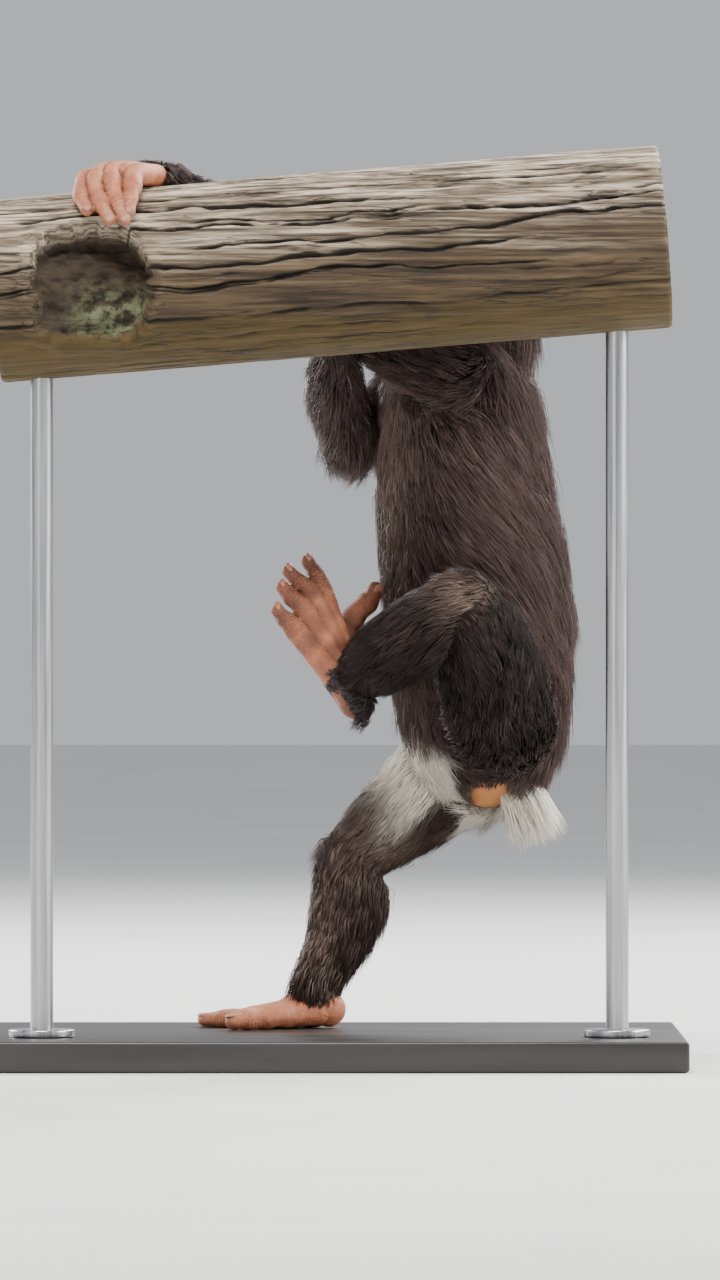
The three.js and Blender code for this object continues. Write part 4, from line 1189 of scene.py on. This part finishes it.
def makeEye(sign, name):
    centre = inHead(eye["forward"], sign * eye["apart"], eye["height"])
    bpy.ops.mesh.primitive_uv_sphere_add(segments=64, ring_count=40, radius=eye["radius"] * mm,
                                         location=tuple(centre * mm))
    ball = bpy.context.object
    ball.name = name
    bpy.ops.object.transform_apply(location=True, rotation=True, scale=True)
    points = positionsOf(ball.data)
    gaze = unit(headForward + 0.05 * -sign * headLeft)
    offset = points - centre * mm
    facing = unit(offset) @ gaze
    cornea = 1 + 0.05 * smoothstep(0.80, 0.93, facing)
    setPositions(ball.data, centre * mm + offset * cornea[:, None])
    setColors(ball.data, "iris", np.stack([facing, facing, facing], axis=1))
    shadeSmooth(ball)
    return ball


eyePieces = [makeEye(1, "eyeball_left"), makeEye(-1, "eyeball_right")]
eyeFinish = eyeMaterial()
for ball in eyePieces:
    dress(ball, eyeFinish)


# Nails lie on the back of each tip
def makeNails(name, tips):
    forms = []
    for place, along, outward, radius in tips:
        side = unit(np.cross(along, outward))
        outward = np.cross(side, along)
        centre = place + outward * radius * 0.72 + along * radius * 0.16
        halves = (radius * 0.86, radius * 0.78, radius * 0.27)
        forms.append(ballMesh(centre, [along, side, outward], halves))
    nails = melt(name, forms, 0.45, 1)
    shadeSmooth(nails)
    return nails


def nailTips(name):
    tips = []
    for ray, (points, radii) in zip((hands | feet)[name]["rays"], raysOf(name)):
        if name in hands:
            outward = points[-1] - onLog(ray[-1][0], ray[-1][1], -log["radius"])
        else:
            outward = -np.array(feet[name]["sole"], dtype=float)
        tips.append((points[-1], unit(points[-1] - points[-2]), unit(outward), radii[-1]))
    return tips


nailFinish = nailMaterial()
nailPieces = []
for name in (*hands, *feet):
    nails = makeNails("nails_" + name, nailTips(name))
    dress(nails, nailFinish)
    nailPieces.append(nails)
print("eyes and nails set")


# The log's bark as a height over its cylinder: long cracks, ridges of grain and a rotted knot hole
bark = dict(stepsAlong=200, stepsRound=452, longCracks=38, shortCracks=110, hole=(-187, 93),
            holeHalf=(46, 42), splits=(23, 109, 160, -63, -132), seed=6)


def barkHeight(along, degrees):
    rng = np.random.default_rng(bark["seed"])
    seat = np.stack([along, degrees], axis=1)
    around = degrees * math.radians(log["radius"])
    wavy = around + 5 * noise(seat, (120, 40), 40) + 1.4 * noise(seat, (34, 20), 39)
    grain = np.stack([along, wavy], axis=1)
    worn = 0.35 + 0.65 * smoothstep(125, 85, np.abs(degrees - 10))
    height = 1.0 * noise(grain, (190, 17), 41)
    height += 0.7 * noise(grain, (90, 6.5), 42) + 0.42 * noise(grain, (40, 2.6), 43)
    depth = np.zeros(len(along))
    ragged = 1 + 0.55 * noise(seat, (13, 7), 45)
    for n in range(bark["longCracks"] + bark["shortCracks"]):
        if n < bark["longCracks"]:
            middle = -180 + 360 * (n + rng.uniform(-0.5, 0.5)) / bark["longCracks"]
            start, span = rng.uniform(-420, -60), rng.uniform(220, 620)
            wide, strength = rng.uniform(0.55, 1.15), rng.uniform(2.4, 5.6)
        else:
            middle, start, span = rng.uniform(-180, 180), rng.uniform(-320, 230), rng.uniform(40, 160)
            wide, strength = rng.uniform(0.5, 0.9), rng.uniform(1.0, 2.6)
        line = np.stack([along, np.full(len(along), middle)], axis=1)
        wander = 5.2 * noise(line, (100, 26), 44) + 1.5 * noise(line, (26, 12), 37)
        wander += 0.5 * noise(line, (8, 9), 36)
        apart = (degrees - middle - wander + 180) % 360 - 180
        ends = smoothstep(start, start + 50, along) * smoothstep(start + span, start + span - 50, along)
        depth = np.maximum(depth, strength * ends * ragged * bell(apart / (wide * ragged)))
    depth *= worn
    dx = (along - bark["hole"][0]) / bark["holeHalf"][0]
    dz = (degrees - bark["hole"][1]) / bark["holeHalf"][1]
    ring = (np.abs(dx) ** 2.6 + np.abs(dz) ** 2.6) ** (1 / 2.6)
    ring += 0.09 * noise(seat, 15, 46) + 0.05 * noise(seat, 5, 38)
    inside = smoothstep(1.02, 0.88, ring)
    rough = noise(seat, 11, 47) + 0.6 * noise(seat, 4.5, 48)
    hollow = inside * (21 + 8 * dx - 9 * dz + 3.8 * rough)
    lip = 2.0 * bell((ring - 1.1) / 0.10)
    return height * worn - depth * (1 - inside) - hollow + lip * (1 - inside), depth * (1 - inside), inside


def makeLog():
    steps, sides = bark["stepsAlong"], bark["stepsRound"]
    low, high = log["ends"]
    rounds = np.linspace(-180, 180, sides, endpoint=False)
    along, degrees = np.meshgrid(np.linspace(low, high, steps), rounds, indexing="ij")
    along, degrees = along.ravel(), degrees.ravel()
    height, depth, inside = barkHeight(along, degrees)
    edge = np.minimum(along - low, high - along)
    height -= 1.6 * smoothstep(3, 0, edge)
    turns = np.radians(degrees)
    reach = log["radius"] - 1.3 + np.minimum(height, 1.8)
    axis = np.array([0, log["y"], log["z"]])
    outward = np.cos(turns)[:, None] * logUp - np.sin(turns)[:, None] * away
    verts = axis + along[:, None] * logAlong + reach[:, None] * outward
    # Marks of the bark: red is the cracks' depth, painted as shade by the wood; green is how far it faces up;
    # blue is the knot hole's inside
    marks = np.stack([np.clip(depth / 3.0, 0, 1), 0.5 + 0.5 * np.cos(turns - 0.3), inside], axis=1)
    cut = np.zeros((len(verts), 3))
    i = np.arange(sides)
    j = (i + 1) % sides
    faces = [np.stack([r * sides + i, r * sides + j, (r + 1) * sides + j, (r + 1) * sides + i], 1)
             for r in range(steps - 1)]
    shares = np.array([0.985, 0.95, 0.88, 0.78, 0.66, 0.52, 0.38, 0.24, 0.1])
    splits = np.radians(bark["splits"])
    radial = turns[:sides]
    for end, first, outwards in ((low, 0, -1), (high, (steps - 1) * sides, 1)):
        rim = verts[first:first + sides]
        middle = axis + end * logAlong
        previous = first + i
        for share in shares:
            crack = sum(bell(((radial - a + np.pi) % (2 * np.pi) - np.pi) / (0.03 / share)) for a in splits)
            crack = np.clip(crack, 0, 1) * smoothstep(0.08, 0.3, share)
            rough = noise(np.stack([radial * 9, np.full(sides, share * 9)], 1), 1.3, 49)
            sink = 3.2 * crack * (share < 0.96) + 0.4 * rough
            begin = len(verts)
            inner = middle + share * (rim - middle) - outwards * sink[:, None] * logAlong
            verts = np.vstack([verts, inner])
            # The end splits go to the red mark too, painted as shade by the wood
            marks = np.vstack([marks, np.stack([crack, np.full(sides, 0.5), np.zeros(sides)], axis=1)])
            onRing = np.stack([np.ones(sides), np.full(sides, share), np.zeros(sides)], axis=1)
            cut = np.vstack([cut, onRing])
            now = begin + i
            quad = [previous, np.roll(previous, -1), np.roll(now, -1), now]
            faces.append(np.stack(quad if outwards > 0 else quad[::-1], 1))
            previous = now
        verts = np.vstack([verts, middle])
        marks = np.vstack([marks, [[0, 0.5, 0]]])
        cut = np.vstack([cut, [[1, 0, 0]]])
        hub = np.full(sides, len(verts) - 1)
        tris = [previous, np.roll(previous, -1), hub, hub]
        faces.append(np.stack(tris if outwards > 0 else tris[::-1], 1))
    quads = np.vstack(faces)
    triangles = np.vstack([quads[:, [0, 1, 2]], quads[:, [0, 2, 3]]])
    keep = (triangles != np.roll(triangles, 1, axis=1)).all(axis=1)
    obj = meshPiece("weathered_log", verts * mm, triangles[keep])
    setColors(obj.data, "bark", marks)
    setColors(obj.data, "cut", cut)
    activate(obj)
    bpy.ops.object.mode_set(mode="EDIT")
    bpy.ops.mesh.select_all(action="SELECT")
    bpy.ops.mesh.normals_make_consistent(inside=False)
    bpy.ops.object.mode_set(mode="OBJECT")
    shadeSmooth(obj)
    return obj


logPiece = makeLog()
dress(logPiece, woodMaterial())
print("log", len(logPiece.data.polygons), "triangles")


# Stand: a board with rounded corners and two turned rods with flanges
def makeRod(name, node):
    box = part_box(node)
    x = (box[0][0] + box[1][0]) / 2
    y = (box[0][1] + box[1][1]) / 2
    low, high = box[0][2], box[1][2]
    bpy.ops.mesh.primitive_cylinder_add(vertices=64, radius=stand["rodRadius"] * mm, depth=high - low,
                                        location=(x, y, (low + high) / 2))
    rod = bpy.context.object
    tall = stand["flangeHeight"] * mm
    bpy.ops.mesh.primitive_cylinder_add(vertices=64, radius=stand["flange"] * mm, depth=tall,
                                        location=(x, y, low + tall / 2))
    flange = bpy.context.object
    applyModifier(flange, "BEVEL", width=0.0014, segments=4, angle_limit=math.radians(40))
    joined = joinAll([rod, flange], name)
    bpy.ops.object.transform_apply(location=True, rotation=True, scale=True)
    bpy.ops.object.shade_smooth_by_angle(angle=math.radians(35))
    return joined


def makeBoard():
    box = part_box("stand_base")
    bpy.ops.mesh.primitive_cube_add(size=1, location=(0, 0, stand["thick"] * mm / 2))
    board = bpy.context.object
    board.name = "display_board"
    board.scale = (box[1][0] - box[0][0], box[1][1] - box[0][1], stand["thick"] * mm)
    bpy.ops.object.transform_apply(location=True, rotation=True, scale=True)
    bpy.ops.object.mode_set(mode="EDIT")
    bpy.ops.mesh.select_all(action="DESELECT")
    edit = bmesh.from_edit_mesh(board.data)
    for edge in edit.edges:
        a, b = edge.verts
        edge.select = abs(a.co.z - b.co.z) > 0.01
    bmesh.update_edit_mesh(board.data)
    bpy.ops.mesh.bevel(offset=0.014, segments=10)
    bpy.ops.object.mode_set(mode="OBJECT")
    applyModifier(board, "BEVEL", width=0.0026, segments=4, limit_method="ANGLE",
                  angle_limit=math.radians(40))
    bpy.ops.object.shade_smooth_by_angle(angle=math.radians(35))
    return board


deselect()
rodPieces = [makeRod("polished_rod_" + side, "stand_rod_" + side) for side in ("left", "right")]
steel = steelMaterial()
for rod in rodPieces:
    dress(rod, steel)
board = makeBoard()
dress(board, boardMaterial())
print("stand made")

# What each piece stands for, and the finish that the record names for it
fleshNodes = [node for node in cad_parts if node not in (
    "perch_log", "stand_base", "stand_rod_left", "stand_rod_right", "eye_left", "eye_right", "rump_tuft")]
pieces = [(skin, "pale_skin", fleshNodes), (tailPiece, "white_coat", ["rump_tuft"]),
          (eyePieces[0], "eye", ["eye_left"]), (eyePieces[1], "eye", ["eye_right"]),
          (logPiece, "weathered_wood", ["perch_log"]), (board, "stand_board", ["stand_base"]),
          (rodPieces[0], "stand_steel", ["stand_rod_left"]),
          (rodPieces[1], "stand_steel", ["stand_rod_right"])]
pieces += [(piece, "dark_coat", []) for piece in coatPieces]
pieces += [(nails, "pale_skin", []) for nails in nailPieces]
for piece, slot, nodes in pieces:
    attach(piece, "root")
    if nodes:
        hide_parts(*nodes)


# Pale floor and soft studio light
def addFloor():
    bpy.ops.mesh.primitive_plane_add(size=30, location=(0, 6, -0.0005))
    floor = bpy.context.object
    floor.name = "floor"
    dress(floor, floorMaterial())


# Square lamps round the stand, all turned to the animal's middle
lamps = {
    "key": dict(place=(-0.4, -1.9, 3.9), size=1.7, power=235, tint=(1, 0.97, 0.93)),
    "fill": dict(place=(-2.4, -4.0, 1.5), size=2.4, power=36, tint=(1, 1, 1)),
    "side": dict(place=(3.2, -0.6, 1.7), size=1.6, power=150, tint=(1, 1, 1)),
    "back": dict(place=(1.8, 3.0, 2.6), size=1.4, power=240, tint=(1, 1, 1)),
    "rim": dict(place=(-2.6, 2.4, 1.6), size=1.2, power=190, tint=(1, 1, 1)),
}


def addLamps(middle):
    for name, lamp in lamps.items():
        bpy.ops.object.light_add(type="AREA", location=lamp["place"])
        light = bpy.context.object
        light.name = name
        light.rotation_euler = (middle - Vector(lamp["place"])).to_track_quat("-Z", "Y").to_euler()
        light.data.size = lamp["size"]
        light.data.energy = lamp["power"]
        light.data.color = lamp["tint"]


deselect()
addFloor()
addLamps(Vector((0.05, 0, 0.4)))
world = bpy.data.worlds.new("studio")
bpy.context.scene.world = world
world.use_nodes = True
world.node_tree.nodes["Background"].inputs["Color"].default_value = (0.93, 0.95, 1.0, 1)
world.node_tree.nodes["Background"].inputs["Strength"].default_value = 0.58
